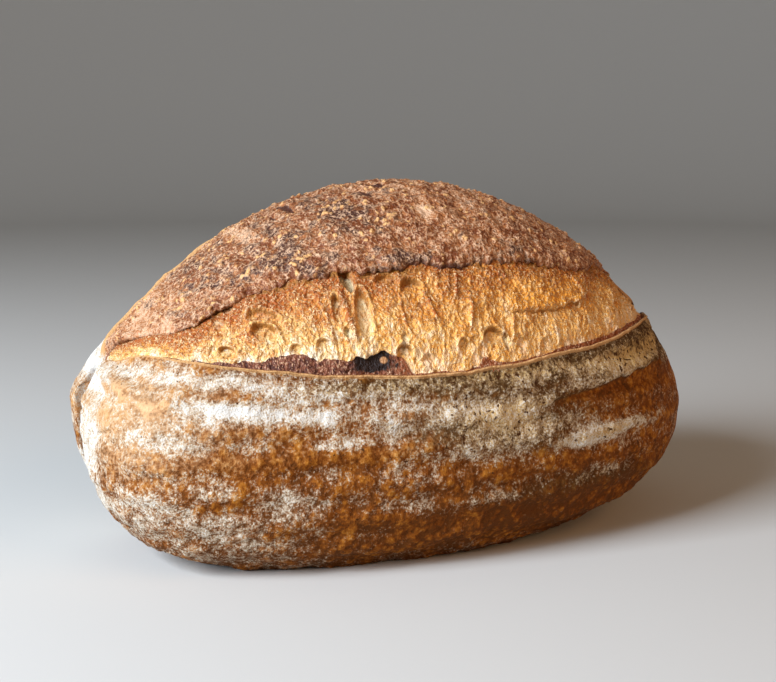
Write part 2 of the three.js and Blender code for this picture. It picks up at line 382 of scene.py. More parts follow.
@dataclass(frozen=True)
class LoafBody:
    """The smooth body of the loaf, which the solid model has nearly the same."""

    half_length: float = 118.0
    crest_height: float = 127.6
    front_reach: float = 76.0
    back_reach: float = 70.0
    waist_height: float = 40.0
    settled_depth: float = 5.6
    left: Closing = Closing(plan=0.51, top=1.49, belly=0.52, waist=49.0)
    right: Closing = Closing(plan=0.875, top=1.37, belly=0.89, waist=40.0)
    under_power: float = 3.1
    upper_power: float = 2.03
    core: float = 0.7
    lowest_foot: float = -78.0
    ends_meet: Band = Band(-0.5, 0.5)
    least_pace: float = 1.0
    ring_samples: int = 6000
    row_samples: int = 160
    swells: tuple[Swell, ...] = (
        Swell(-98, -42, 40, 32, 7),
        Swell(-110, 24, 52, 26, 3),
        Swell(-90, -52, 8, 30, 4.8),
        Swell(96, -30, 12, 34, -2),
        Swell(-62, 0, 100, 34, 1.2),
        Swell(-20, -72, 14, 40, 3.2),
        Swell(20, 66, 50, 46, 1.8),
        Swell(100, -14, 74, 26, -0.4),
        Swell(-58, -62, 4, 30, 3.4),
    )
    folds: tuple[Fold, ...] = (
        Fold(side=-1, y=7, width=4.5, depth=6),
        Fold(side=1, y=2, width=6, depth=4.5),
    )
    fold_deepens: Band = Band(0.86, 0.96)

    def sections(self, share: Array) -> Section:
        """Works out the plain sections.

        Args:
            share: Place of each ring along the loaf, from -1 at the left end to 1 at the right.

        Returns:
            The sections, with one row for each ring.
        """
        share = share[:, None]
        roundness = np.sqrt(np.clip(1.0 - share**2, 0.0, 1.0))
        side = self.ends_meet.at(share)
        plan = roundness ** mix(self.left.plan, self.right.plan, side)
        belly = roundness ** mix(self.left.belly, self.right.belly, side)
        top = roundness ** np.where(share < 0, self.left.top, self.right.top)
        end_waist = np.where(share < 0, self.left.waist, self.right.waist)
        waist = mix(self.waist_height, end_waist, share**2)
        return Section(
            share=share,
            x=self.half_length * share,
            waist=waist,
            front=self.front_reach * plan,
            back=self.back_reach * plan,
            rise=(self.crest_height - waist) * top,
            drop=(waist + self.settled_depth) * belly,
        )

    def even_shares(self, count: int, low: float, high: float) -> Array:
        """Spaces rings evenly round the plan of the loaf.

        Args:
            count: Number of rings.
            low: Share of the half length at the first ring.
            high: Share of the half length at the last ring.

        Returns:
            The share of each ring.
        """
        fine = np.sin(np.linspace(math.asin(low), math.asin(high), self.ring_samples))
        length = self.run(self.sections(fine))[:, 0]
        return np.interp(np.linspace(0.0, length[-1], count), length, fine)

    def run(self, section: Section) -> Array:
        """Distance of each ring from the first one, round the plan of the loaf."""
        steps = np.hypot(np.diff(section.x[:, 0]), np.diff(section.front[:, 0]))
        return np.concatenate([[0.0], np.cumsum(steps)])[:, None]

    def _floor(self, section: Section) -> Array:
        """Height of the floor over the waist of each section, as a share of its drop."""
        return np.clip(-section.waist / np.maximum(section.drop, LEAST), -1.0, 0.0)

    def foot_angle(self, section: Section) -> Array:
        """Angle at which the front of each section meets the floor."""
        return np.maximum(np.degrees(np.arcsin(self._floor(section))), self.lowest_foot)

    def _across(self, up: Array) -> Array:
        """Half width of the section at a height, as a share of its reach."""
        power = np.where(up < 0, self.under_power, self.upper_power)
        return (1.0 - np.minimum(np.abs(up), 1.0) ** power) ** (1.0 / power)

    def plain_points(self, section: Section, angle: Array) -> Array:
        """Places on the plain sections.

        Args:
            section: The sections, one for each ring.
            angle: Degrees round the section: -90 is the base, 0 the front, 90 the crest, 180 the back.

        Returns:
            Places in millimetres, with x, y and z on the last axis.
        """
        up = np.sin(np.radians(angle))
        is_front = angle < CREST
        side = np.where(is_front, -section.front, section.back)
        height = section.waist + np.where(up < 0, section.drop, section.rise) * up
        floor = self._floor(section)
        foot = np.degrees(np.arcsin(floor))
        from_middle = np.where(is_front, angle - BASE_START, BASE_END - angle)
        from_middle = from_middle / np.maximum(foot - BASE_START, LEAST)
        on_floor = height < 0
        y = side * np.where(on_floor, self._across(floor) * from_middle, self._across(up))
        x = np.broadcast_to(section.x, angle.shape)
        return np.stack([x, y, np.where(on_floor, 0.0, height)], axis=-1)

    def _swell(self, points: Array) -> Array:
        """Height of the broad swells and the folds at each point."""
        height = np.zeros(points.shape[:-1])
        for swell in self.swells:
            away = np.linalg.norm(points - np.array([swell.x, swell.y, swell.z]), axis=-1)
            height += swell.height * bell(away, swell.reach)
        for fold in self.folds:
            near_end = self.fold_deepens.at(fold.side * points[..., 0] / self.half_length)
            height -= fold.depth * near_end * bell(points[..., 1] - fold.y, fold.width)
        return height

    def skin_points(self, section: Section, angle: Array, relief: Array) -> Array:
        """Places on the skin, raised by a relief and flat where the loaf stands on the floor.

        Args:
            section: The sections, one for each ring.
            angle: Degrees round the section.
            relief: Height over the smooth skin at each place, in millimetres.

        Returns:
            Places in millimetres, with x, y and z on the last axis.
        """
        plain = self.plain_points(section, angle)
        on_floor = plain[..., 2] <= 0
        centre = np.stack([section.x * self.core, 0 * section.x, section.waist], axis=-1)
        outward = plain - centre
        outward /= np.maximum(np.linalg.norm(outward, axis=-1, keepdims=True), LEAST)
        height = self._swell(plain) + np.where(on_floor, 0.0, relief)
        points = plain + outward * height[..., None]
        points[..., 2] = np.where(on_floor, 0.0, np.maximum(points[..., 2], 0.0))
        return points

    def degrees(self, section: Section, angle: Array, millimetres: Array) -> Array:
        """Turns millimetres along the upper skin at an angle into degrees."""
        turn = np.radians(angle)
        pace = np.hypot(section.front * np.sin(turn), section.rise * np.cos(turn))
        return np.degrees(millimetres / np.maximum(pace, self.least_pace))

    def past(self, section: Section, angle: Array, millimetres: Array) -> Array:
        """Angle that lies some millimetres further up the skin."""
        return angle + self.degrees(section, angle, millimetres)

    def even_angles(self, section: Section, start: Array, end: Array, count: int) -> Array:
        """Spaces rows evenly along the skin between two angles.

        Args:
            section: The sections, one for each ring.
            start: First angle of each ring.
            end: Angle that the rows stop short of.
            count: Number of rows.

        Returns:
            Angles, with one row of the array for each ring.
        """
        fine = np.linspace(0.0, 1.0, self.row_samples)
        angles = start + (end - start) * fine
        points = self.plain_points(section, angles)
        steps = np.linalg.norm(np.diff(points, axis=1), axis=-1) + LEAST
        length = np.concatenate([np.zeros((len(steps), 1)), np.cumsum(steps, axis=1)], axis=1)
        wanted = np.arange(count) / count
        return np.stack([np.interp(wanted * run[-1], run, turn) for run, turn in zip(length, angles)])


@dataclass(frozen=True)
class Climb:
    """How the dome's edge rises to one side of the middle and then climbs to the rear lip."""

    rise: float
    rises: Band
    climb_from: float
    climb_run: float
    bend: float


@dataclass(frozen=True)
class Corner:
    """How the two lips of the score meet at one end."""

    share: float
    lip_angle: float
    rear_from: float
    rear_to: float
    rear_angle: float


@dataclass(frozen=True)
class Score:
    """The long cut: its front lip, its rear lip and the ragged edge of the dome between them."""

    body: LoafBody
    lip_height: float = 66.6
    lip_rise: float = 8.0
    lip_lowest_x: float = -20.0
    lip_run: float = 95.0
    lip_bend: float = 1.5
    left_lip_top: float = 72.0
    right_lip_top: float = 76.4
    lip_droop: float = 1.6
    droops: Band = Band(100.0, 108.0)
    shoulder: float = 8.0
    left_corner: Corner = Corner(0.95, 101.5, rear_from=0.86, rear_to=0.925, rear_angle=104.5)
    right_corner: Corner = Corner(0.84, 66.0, rear_from=0.45, rear_to=0.84, rear_angle=72.0)
    corner_starts: float = 0.04
    corner_fade: float = 0.045
    rear_angle: float = 106.0
    edge_angle: float = 44.0
    left_climb: Climb = Climb(8.5, Band(0.15, 0.6), climb_from=0.7, climb_run=0.22, bend=2.6)
    right_climb: Climb = Climb(3.0, Band(0.0, 0.3), climb_from=0.34, climb_run=0.385, bend=3.0)
    edge_lifts: tuple[Stretch, ...] = (
        Stretch(-36.0, 6.0, 2.0),
        Stretch(-14.0, 12.0, 3.0),
        Stretch(12.0, 16.0, 1.2),
        Stretch(52.0, 12.0, 2.4),
    )
    tears: tuple[Lumps, ...] = (Lumps(13.0, 1.2), Lumps(4.3, 1.4), Lumps(1.9, 1.2), Lumps(1.0, 0.7))
    tear_lane: float = 3.3
    lip_wander: tuple[Lumps, ...] = (Lumps(14.0, 0.8), Lumps(3.6, 0.3))
    least_strip: float = 3.0

    def _by_side(self, share: Array, name: str) -> Array:
        """One size of the corner that is nearest to each ring."""
        return np.where(share < 0, getattr(self.left_corner, name), getattr(self.right_corner, name))

    def corner_share(self, share: Array) -> Array:
        """Place of the nearest corner, as a share of the half length."""
        return self._by_side(share, "share")

    def _near_corner(self, share: Array, fade: float) -> Array:
        """How near a corner each ring is: 0 up to a fade before it and 1 from the corner on."""
        return ease((np.abs(share) - self.corner_share(share)) / fade, -1.0, 0.0)

    def openness(self, share: Array) -> Array:
        """How far the score stands open: 1 along most of the loaf, 0 at the corners."""
        return 1.0 - self._near_corner(share, self.corner_fade)

    def rear(self, section: Section) -> Array:
        """Angle of the rear lip, which comes down to meet the front one at the corners."""
        share = section.share
        start, end = self._by_side(share, "rear_from"), self._by_side(share, "rear_to")
        meeting = ease((np.abs(share) - start) / (end - start), 0.0, 1.0)
        return mix(self.rear_angle, self._by_side(share, "rear_angle"), meeting)

    def lip(self, section: Section) -> Array:
        """Angle of the front lip."""
        droop = self.lip_droop * self.droops.at(-section.x)
        run = np.abs(section.x - self.lip_lowest_x) / self.lip_run
        top = np.where(section.x < self.lip_lowest_x, self.left_lip_top, self.right_lip_top)
        height = np.minimum(self.lip_height + self.lip_rise * run**self.lip_bend, top) - droop
        steep = np.maximum(height - section.waist, 0.0) / np.maximum(section.rise, 1.0)
        eased = steep / (1.0 + steep**self.shoulder) ** (1.0 / self.shoulder)
        corner_angle = self._by_side(section.share, "lip_angle")
        near = self._near_corner(section.share, self.corner_starts)
        even = mix(np.degrees(np.arcsin(eased)), corner_angle, near)
        return self.body.past(section, even, self._waver(section, self.lip_wander))

    def _waver(self, section: Section, waves: tuple[Lumps, ...]) -> Array:
        """Unsteadiness of a cut edge in millimetres, each wave in a lane of its own."""
        total = np.zeros_like(section.x)
        for index, wave in enumerate(waves):
            lane = np.full_like(section.x, self.tear_lane + index)
            total += wave.at(np.stack([section.x, lane * wave.size, section.front], axis=-1))
        return total * self.openness(section.share)

    def dome_edge(self, section: Section) -> Array:
        """Angle of the dome's ragged edge."""
        away = np.abs(section.share)
        even = np.zeros_like(away)
        is_left = section.share < 0
        for climb, is_here in ((self.left_climb, is_left), (self.right_climb, ~is_left)):
            low = self.edge_angle + climb.rise * climb.rises.at(away)
            climbing = np.clip((away - climb.climb_from) / climb.climb_run, 0.0, 1.0) ** climb.bend
            even = np.where(is_here, mix(low, self.rear(section), climbing), even)
        lifted = self._waver(section, self.tears) + sum(lift.at(section.x) for lift in self.edge_lifts)
        angle = self.body.past(section, even, lifted)
        lowest = self.lip(section) + self.least_strip
        return np.clip(angle, lowest, self.rear(section) - self.least_strip)


@dataclass
class RowPlan:
    """Gathers the rows of a skin, stretch by stretch, round each of its rings."""

    body: LoafBody
    section: Section
    angles: list[Array] = field(default_factory=list)
    lifts: list[Array] = field(default_factory=list)
    weights: list[Array] = field(default_factory=list)
    marks: dict[str, list[Array]] = field(default_factory=dict)

    def _add(self, angles: Array, lift: Values, weight: float, marks: dict[str, float]) -> None:
        """Adds rows, each with its height, its share of the relief and its marks."""
        count = angles.shape[1]
        self.angles.append(angles)
        self.lifts.append(np.broadcast_to(lift, angles.shape))
        self.weights.append(np.broadcast_to(weight, angles.shape))
        for name in sorted(set(self.marks) | set(marks)):
            rows_before = sum(part.shape[1] for part in self.angles[:-1])
            parts = self.marks.setdefault(name, [np.zeros((len(angles), rows_before))])
            parts.append(np.full((len(angles), count), marks.get(name, 0.0)))

    def stretch(
        self,
        start: Values,
        end: Values,
        count: int,
        lift: Values = 0.0,
        weight: float = 1.0,
        **marks: float,
    ) -> None:
        """Adds evenly spaced rows between two angles.

        Args:
            start: Angle of the first row on each ring.
            end: Angle that the rows stop short of.
            count: Number of rows.
            lift: Height over the smooth skin.
            weight: Share of the piece's relief that shows here.
            marks: Marks that the material reads, by name.
        """
        ones = np.ones_like(self.section.share)
        angles = self.body.even_angles(self.section, start * ones, end * ones, count)
        self._add(angles, lift, weight, marks)

    def profile(
        self,
        angle: Array,
        spread: Array,
        steps: Steps,
        height: Array,
        weight: float,
        **marks: float,
    ) -> None:
        """Adds rows along a small profile that is drawn square to the skin.

        Args:
            angle: Angle of the line that the profile follows.
            spread: Share of the profile's width that is kept on each ring.
            steps: Places along the skin and heights over it, in millimetres.
            height: Share of the profile's height that is kept on each ring.
            weight: Share of the piece's relief that shows here.
            marks: Marks that the material reads, by name.
        """
        for along, lift in steps:
            place = self.body.past(self.section, angle, along * spread)
            self._add(place, lift * height, weight, marks)

    def joined(self, parts: list[Array]) -> Array:
        """One array of all rows."""
        return np.concatenate(parts, axis=1)


@dataclass
class Skin:
    """A closed skin made of rings of rows, and the object that shows it."""

    name: str
    points: Array
    marks: dict[str, Array]

    def make_object(self, material: bpy.types.Material) -> bpy.types.Object:
        """Makes the skin's mesh and object.

        Args:
            material: Finish of the whole skin.

        Returns:
            The object, at the origin, riding on the loaf's body.
        """
        rings, rows = self.points.shape[:2]
        places = np.concatenate([self.points, self.points[:, :1]], axis=1).reshape(-1, 3) * MM
        shape = bmesh.new()
        bmesh.ops.create_grid(shape, x_segments=rows, y_segments=rings - 1, size=1)
        for vertex, place in zip(shape.verts, places.tolist()):
            vertex.co = place
        for name, values in self.marks.items():
            layer = shape.verts.layers.float.new(name)
            closed = np.concatenate([values, values[:, :1]], axis=1).ravel().tolist()
            for vertex, value in zip(shape.verts, closed):
                vertex[layer] = value
        seam = [vertex for vertex in shape.verts if vertex.is_boundary]
        bmesh.ops.remove_doubles(shape, verts=seam, dist=WELD)
        bmesh.ops.recalc_face_normals(shape, faces=shape.faces)
        for face in shape.faces:
            face.smooth = True
        mesh = bpy.data.meshes.new(self.name)
        shape.to_mesh(mesh)
        shape.free()
        mesh.materials.append(material)
        piece = bpy.data.objects.new(self.name, mesh)
        bpy.context.scene.collection.objects.link(piece)
        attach(piece, "root")
        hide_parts("loaf")
        return piece


def gathered_ends(points: Array) -> Array:
    """Draws the first and the last ring together into a point, so that the skin is closed."""
    for end in (0, -1):
        points[end] = points[end].mean(axis=0)
    return points


def bead(radius: float, count: int) -> Steps:
    """Half round profile of a thin lip, with a height of 1."""
    turns = [math.pi * step / (count - 1) for step in range(count)]
    return tuple((-radius * math.cos(turn), math.sin(turn)) for turn in turns)


@dataclass(frozen=True)
class Ledge:
    """The torn ledge in the right flank, where the skin slipped over itself."""

    x: float = 64.0
    z: float = 59.2
    half: float = 32.0
    slope: float = 0.13
    turn: Band = Band(86.0, 102.0)
    climb: float = 16.0
    height: float = 1.5
    soft: float = 0.45
    reach: float = 7.0
    ragged: Lumps = Lumps(5.0, 0.9)

    def at(self, points: Array) -> tuple[Array, Array]:
        """Height of each point over the ledge's line, and how near the ledge is, from 0 to 1."""
        x = points[..., 0]
        line = self.z + self.slope * (x - self.x) + self.climb * self.turn.at(x)
        over = points[..., 2] - line - self.ragged.at(points)
        in_front = FRONT.at(-points[..., 1])
        return over, in_front * bell(x - self.x, self.half) * bell(over, self.reach)

    def slip(self, points: Array) -> Array:
        """How far the skin has slipped out: towards 1 over the line and -1 under it."""
        over, near = self.at(points)
        return near * np.tanh(over / self.soft)


@dataclass(frozen=True)
class Tuck:
    """The sharp tuck down the left end, with a lobe behind it and a floured brow in front."""

    y: float = 8.4
    width: float = 3.6
    depth: float = 3.4
    ragged: Lumps = Lumps(9.0, 0.8)
    opens: Band = Band(0.0, 0.8)
    end: Band = Band(104.0, 112.0)
    foot: Band = Band(20.0, 30.0)
    head: Band = Band(60.0, 68.0)
    shade: Stretch = Stretch(4.0, 2.2, 0.8)
    brow_starts: Band = Band(5.0, 8.0)
    brow_ends: Band = Band(34.0, 44.0)
    brow_end: Band = Band(108.0, 114.0)
    brow_foot: Band = Band(18.0, 28.0)
    brow_head: Band = Band(62.0, 68.0)

    def _behind(self, points: Array) -> Array:
        """How far each point lies behind the tuck's line."""
        return points[..., 1] - self.y - self.ragged.at(points)

    def _here(self, points: Array) -> Array:
        """1 where the tuck runs, 0 past its ends."""
        near_end = self.end.at(-points[..., 0]) * self.foot.at(points[..., 2])
        return near_end * (1.0 - self.head.at(points[..., 2]))

    def sunk(self, points: Array) -> Array:
        """Depth of the tuck at each point."""
        behind = self._behind(points)
        deep = self.opens.at(behind) * np.exp(-np.maximum(behind, 0.0) / self.width)
        return self.depth * (self._here(points) * deep)

    def shaded(self, points: Array) -> Array:
        """Shade in the tuck at each point."""
        return self._here(points) * self.shade.at(self._behind(points))

    def brow(self, points: Array) -> Array:
        """1 on the brow in front of the tuck, 0 off it."""
        ahead = -self._behind(points)
        across = self.brow_starts.at(ahead) * (1.0 - self.brow_ends.at(ahead))
        up = self.brow_foot.at(points[..., 2]) * (1.0 - self.brow_head.at(points[..., 2]))
        return self.brow_end.at(-points[..., 0]) * across * up


@dataclass(frozen=True)
class Dusting:
    """How the flour lies: in drawn patches in front, in rings and clouds on the hidden sides."""

    even: float = 0.345
    streaks: tuple[Lumps, ...] = (Lumps((14.0, 14.0, 4.5), 0.18), Lumps(4.0, 0.16))
    ring_flour: float = 0.1
    rings: Rings = Rings(pitch=10.0, height=0.1, wander=Lumps(30.0, 3.0))
    clouds: Lumps = Lumps((26.0, 26.0, 12.0), 0.3)
    brow_flour: float = 0.3
    ledge_flour: float = 0.26
    right_end: Band = Band(50.0, 112.0)
    right_end_share: float = 0.4
    lobe: Band = Band(92.0, 104.0)
    lobe_flour: float = 0.14
    lobe_top: Band = Band(50.0, 64.0)
    lobe_top_flour: float = 0.16
    thinner: Band = Band(-50.0, -16.0)
    right_limit: float = 0.86
    blend_grows: Band = Band(20.0, 80.0)
    left_blend: float = 8.0
    right_blend: float = 46.0
    blend_middle: float = -2.0
    blend_behind: float = 0.4
    blend_ahead: float = 0.6
    blend_ragged: Lumps = Lumps(12.0, 0.2)
    patches: tuple[Patch, ...] = (
        Patch(-110, 65.5, 5.5, 4.0, 0.18),
        Patch(-106, 60.0, 9.0, 4.6, 0.14),
        Patch(-68, 55.6, 30.0, 6.0, 0.06),
        Patch(-107, 69.0, 4.0, 1.8, -0.12),
        Patch(-88, 69.0, 24.0, 2.4, 0.08),
        Patch(-97, 66.0, 9.0, 3.0, 0.16),
        Patch(-104, 48.0, 20.0, 14.0, 0.12),
        Patch(-100, 63.2, 4.5, 0.8, -0.16),
        Patch(-114, 53.5, 6.0, 3.6, -0.22),
        Patch(-104, 48.3, 8.0, 3.2, 0.2),
        Patch(-88, 39.0, 24.0, 4.2, -0.14),
        Patch(-112, 42.5, 3.0, 3.0, -0.14),
        Patch(-55, 41.6, 24.0, 3.0, -0.2),
        Patch(-104, 28.0, 18.0, 8.0, 0.12),
        Patch(-86, 17.0, 24.0, 8.0, 0.12),
        Patch(-58, 13.0, 14.0, 6.0, 0.12),
        Patch(-82, 57.7, 12.0, 2.6, 0.5),
        Patch(-64, 56.0, 12.0, 3.0, 0.36),
        Patch(-49, 55.0, 5.0, 3.4, 0.4),
        Patch(-44.7, 46.4, 5.0, 3.0, 0.24),
        Patch(-82, 62.5, 6.0, 2.0, -0.2),
        Patch(-68, 64.5, 30.0, 3.6, 0.2, slope=-0.07),
        Patch(-70, 26.0, 16.0, 7.0, 0.16),
        Patch(-45.5, 24.0, 1.2, 10.0, -0.4),
        Patch(0, 54.0, 24.0, 5.0, 0.34, slope=-0.05),
        Patch(20, 49.0, 20.0, 7.0, 0.28, slope=-0.1),
        Patch(2, 42.0, 14.0, 4.0, 0.22),
        Patch(-29, 50.0, 6.0, 4.0, 0.22),
        Patch(-29, 38.5, 4.0, 2.0, 0.22),
        Patch(56, 41.6, 20.0, 2.3, 0.74, slope=0.09),
        Patch(49, 41.6, 8.0, 3.0, 0.36),
        Patch(12, 24.4, 16.0, 1.8, 0.22),
        Patch(56, 26.6, 12.0, 1.3, 0.24, slope=0.05),
        Patch(10, 64.5, 62.0, 3.4, 0.18, slope=0.03),
        Patch(76, 66.4, 26.0, 5.6, 0.18, slope=0.15),
        Patch(0, 33.0, 34.0, 4.0, -0.06),
        Patch(36, 33.0, 24.0, 4.5, -0.12),
        Patch(48, 55.0, 30.0, 5.0, -0.03, slope=0.1),
        Patch(92, 52.0, 20.0, 10.0, -0.14),
        Patch(84, 26.0, 26.0, 8.0, -0.16),
        Patch(10, 15.0, 60.0, 9.0, -0.34),
        Patch(64, 17.0, 30.0, 6.0, -0.12),
    )
    dull: tuple[Patch, ...] = (
        Patch(18, 66.5, 56, 5.0, 1.0, slope=0.03),
        Patch(84, 69.0, 34, 10.0, 1.2, slope=0.22),
        Patch(-44, 64, 26, 4.0, 0.4),
        Patch(14, 50, 36, 12, 1.1),
        Patch(58, 41.8, 18, 2.2, 0.95, slope=0.09),
        Patch(46, 25.0, 50, 5, 0.6),
        Patch(100, 68.0, 8, 8.0, 0.4),
    )
    # Flour haze and painted light: a pale wash, part thin flour and part painted light, strongest on the
    # lit left end
    flour_haze_and_painted_light: tuple[Patch, ...] = (
        Patch(-114, 56, 32, 24, 0.48),
        Patch(-60, 56, 60, 18, 0.18),
        Patch(-4, 50, 30, 12, 0.3),
        # Painted shade that darkens the low front flank
        Patch(24, 12, 90, 15, -1.5),
    )

    def _front_share(self, points: Array) -> Array:
        """1 where the drawn patches show and 0 where the hidden sides' flour does."""
        blend = mix(self.left_blend, self.right_blend, self.blend_grows.at(points[..., 0]))
        ahead = -points[..., 1] + blend * self.blend_ragged.at(points)
        low = self.blend_middle - self.blend_behind * blend
        return ease(ahead, low, self.blend_middle + self.blend_ahead * blend)

    def at(self, points: Array, ledge: Ledge, tuck: Tuck) -> Array:
        """Works out how thickly the flour lies.

        Args:
            points: Places on the plain skin in millimetres.
            ledge: The ledge, which caught flour on its upper side.
            tuck: The tuck, whose brow is white with flour.

        Returns:
            A share from 0 to 1 for each point.
        """
        x = points[..., 0]
        is_front = self._front_share(points)
        drawn = patchwork(self.patches, points) + self.brow_flour * tuck.brow(points)
        drawn = drawn + self.ledge_flour * ledge.slip(points)
        hidden = self.ring_flour + self.rings.at(points) + self.clouds.at(points)
        hidden = hidden * mix(1.0, self.right_end_share, self.right_end.at(x))
        lobe = self.lobe_flour + self.lobe_top_flour * self.lobe_top.at(points[..., 2])
        hidden = hidden + lobe * self.lobe.at(-x)
        streaks = sum(lumps.at(points) for lumps in self.streaks)
        most = mix(1.0, self.right_limit, is_front * self.thinner.at(x))
        return np.clip(self.even + streaks + mix(hidden, drawn, is_front), 0.0, most)


@dataclass(frozen=True)
class FlouredCrust:
    """The floured skin of the flanks, the ends and the base, with the two lips of the score."""

    body: LoafBody
    score: Score
    ledge: Ledge = Ledge()
    tuck: Tuck = Tuck()
    dusting: Dusting = Dusting()
    ring_count: int = 460
    base_rows: int = 4
    front_rows: int = 112
    back_rows: int = 62
    approach: Steps = ((-2.2, 0.0), (-1.7, 0.1), (-1.2, 0.25))
    lip_radius: float = 0.5
    lip_rows: int = 9
    lip_relief: float = 0.8
    lip_height: float = 0.6
    lip_end: Band = Band(70.0, 95.0)
    lip_end_height: float = 0.3
    lip_thickens: Band = Band(-60.0, 30.0)
    left_lip_share: float = 0.6
    wall: Steps = ((0.66, -0.4), (0.7, -1.2), (0.74, -2.4), (0.9, -5.0))
    wall_relief: float = 0.2
    hollow: Steps = ((2.4, -9.0), (5.0, -9.0))
    rear_wall: Steps = ((-6.0, -9.0), (-2.6, -9.0), (-1.25, -4.0), (-1.1, -1.0))
    ear_radius: float = 1.0
    ear_rows: int = 8
    ear_relief: float = 0.5
    ear_height: float = 1.5
    ear_sinks: Band = Band(0.5, 0.72)
    right_ear_share: float = 0.4
    corner_ear: Stretch = Stretch(97.6, 3.0, 1.9)
    departure: Steps = ((1.5, 0.35), (2.1, 0.12))
    behind_ear: float = 2.6
    relax_past: float = 0.01
    end_fade: Band = Band(0.0, 3.0)
    rings: Rings = Rings(pitch=10.0, height=0.5, wander=Lumps(40.0, 2.5))
    swell: Lumps = Lumps(9.0, 0.8)
    rough: tuple[Lumps, ...] = (Lumps(4.2, 0.5), Lumps(1.8, 0.38))
    wrinkles: Lumps = Lumps((1.7, 1.7, 6.0), 0.3, Grain.RIDGED)
    wrinkles_start: Band = Band(-96.0, -70.0)
    ripples: Lumps = Lumps((9.0, 9.0, 2.0), 0.5)
    ripples_left: Band = Band(20.0, 60.0)
    ripples_low: Band = Band(-34.0, -20.0)
    blisters: Blisters = Blisters(spacing=2.9, reach=0.52, height=0.45)
    blister_clouds: Lumps = Lumps(9.0, 1.0)
    blister_share: Band = Band(-0.55, 0.05)
    under_flour: float = 0.5
    right_calm: Band = Band(0.66, 0.9)
    right_calm_share: float = 0.8
    lobe_step: float = 4.0
    lobe_calm_share: float = 0.7
    bubbles: tuple[Patch, ...] = (
        Patch(-102.8, 57.6, 3.4, 3.0, 1.0),
        Patch(-98.0, 59.4, 1.4, 1.9, 0.7),
        Patch(-108.8, 61.2, 1.7, 2.4, 0.85),
        Patch(-111.6, 60.4, 0.8, 1.6, 0.6),
    )
    bubble_height: float = 1.3
    bubble_calm_share: float = 0.8
    bubble_outline: Stretch = Stretch(0.34, 0.2, 0.42)
    slit: Patch = Patch(-113.6, 49.4, 4.0, 0.6, 1.3, slope=0.85)
    lobe_edge: float = 2.0
    # Share of the flour haze and painted light that is kept on the lobe behind the tuck
    lobe_haze_and_light_share: float = 0.7
    under_ledge: Band = Band(-0.3, 0.7)
    # Painted shade in the crease under the ledge's flap
    ledge_shade: Stretch = Stretch(-0.5, 0.6, 0.6)

    def _calm(self, points: Array) -> Array:
        """Share of the unevenness that is kept: less at the right end and on the lobe behind the tuck."""
        right = self.right_calm.at(points[..., 0] / self.body.half_length)
        behind = ease(points[..., 1], self.tuck.y, self.tuck.y + self.lobe_step)
        lobe = behind * self.dusting.lobe.at(-points[..., 0])
        return (1.0 - self.right_calm_share * right) * (1.0 - self.lobe_calm_share * lobe)

    def _relief(self, points: Array, flour: Array, smooth: Array) -> tuple[Array, Array]:
        """Works out the relief of the crust.

        Args:
            points: Places on the plain skin in millimetres.
            flour: How thickly the flour lies there.
            smooth: How near the smooth bubbles are.

        Returns:
            The relief in millimetres, and how far each point is up a blister.
        """
        x, z = points[..., 0], points[..., 2]
        patchy = self.blister_clouds.at(points) - self.under_flour * flour
        blister = self.blisters.at(points) * self.blister_share.at(patchy)
        rough = sum(lumps.at(points) for lumps in self.rough)
        rough = rough + flour * self.wrinkles_start.at(x) * self.wrinkles.at(points)
        lower_left = self.ripples_left.at(-x) * self.ripples_low.at(-z)
        rough = rough + lower_left * self.ripples.at(points) + self.blisters.height * blister
        calm = self._calm(points)
        relief = self.ledge.height * self.ledge.slip(points)
        relief = relief + calm * (self.rings.at(points) + self.swell.at(points))
        relief = relief + calm * (1.0 - self.bubble_calm_share * smooth) * rough
        in_front = FRONT.at(-points[..., 1])
        relief = relief + self.bubble_height * in_front * patchwork(self.bubbles, points)
        return relief - self.tuck.sunk(points) - in_front * self.slit.at(points), blister

    def _rows(self, section: Section, opening: Array) -> RowPlan:
        """Lays out the rows of every ring, from the base up the front and down the back.

        Args:
            section: The sections, one for each ring.
            opening: How far the score stands open on each ring.

        Returns:
            The rows.
        """
        body = self.body
        foot, lip, rear = body.foot_angle(section), self.score.lip(section), self.score.rear(section)
        spread = mix(SHUT_SPREAD, 1.0, opening)
        plan = RowPlan(body, section)
        plan.stretch(BASE_START, foot, self.base_rows, weight=0.0)
        before_lip = body.past(section, lip, self.approach[0][0] * spread)
        plan.stretch(foot, before_lip, self.front_rows)
        plan.profile(lip, spread, self.approach, opening, 1.0)
        tall = self.lip_height + self.lip_end_height * self.lip_end.at(section.x)
        thick = mix(self.left_lip_share, 1.0, self.lip_thickens.at(section.x))
        lip_bead = bead(self.lip_radius, self.lip_rows)
        plan.profile(lip, spread * thick, lip_bead, opening * tall * thick, self.lip_relief, rim=1.0)
        plan.profile(lip, spread, self.wall, opening, self.wall_relief, wall=1.0)
        plan.profile(lip, spread, self.hollow, opening, 0.0, wall=1.0)
        plan.profile(rear, spread, self.rear_wall, opening, self.wall_relief, wall=1.0)
        ear = self.ear_height * mix(1.0, self.right_ear_share, self.ear_sinks.at(section.share))
        ear = opening * (ear + self.corner_ear.at(section.x))
        plan.profile(rear, spread, bead(self.ear_radius, self.ear_rows), ear, self.ear_relief, rim=1.0)
        plan.profile(rear, spread, self.departure, opening, 1.0)
        after_ear = body.past(section, rear, self.behind_ear * spread)
        plan.stretch(after_ear, BACK - foot, self.back_rows)
        plan.stretch(BACK - foot, BASE_END, self.base_rows, weight=0.0)
        return plan

    def _relaxed(self, section: Section, angles: Array) -> Array:
        """Spreads the rows evenly past the corners of the score, up to the ends of the loaf."""
        row_share = np.arange(angles.shape[1])[None, :] / angles.shape[1]
        even = BASE_START + (BASE_END - BASE_START) * row_share
        corner = self.score.corner_share(section.share)
        past_corner = (np.abs(section.share) - corner - self.relax_past) / (1.0 - corner)
        return mix(angles, even, ease(past_corner, 0.0, 1.0))

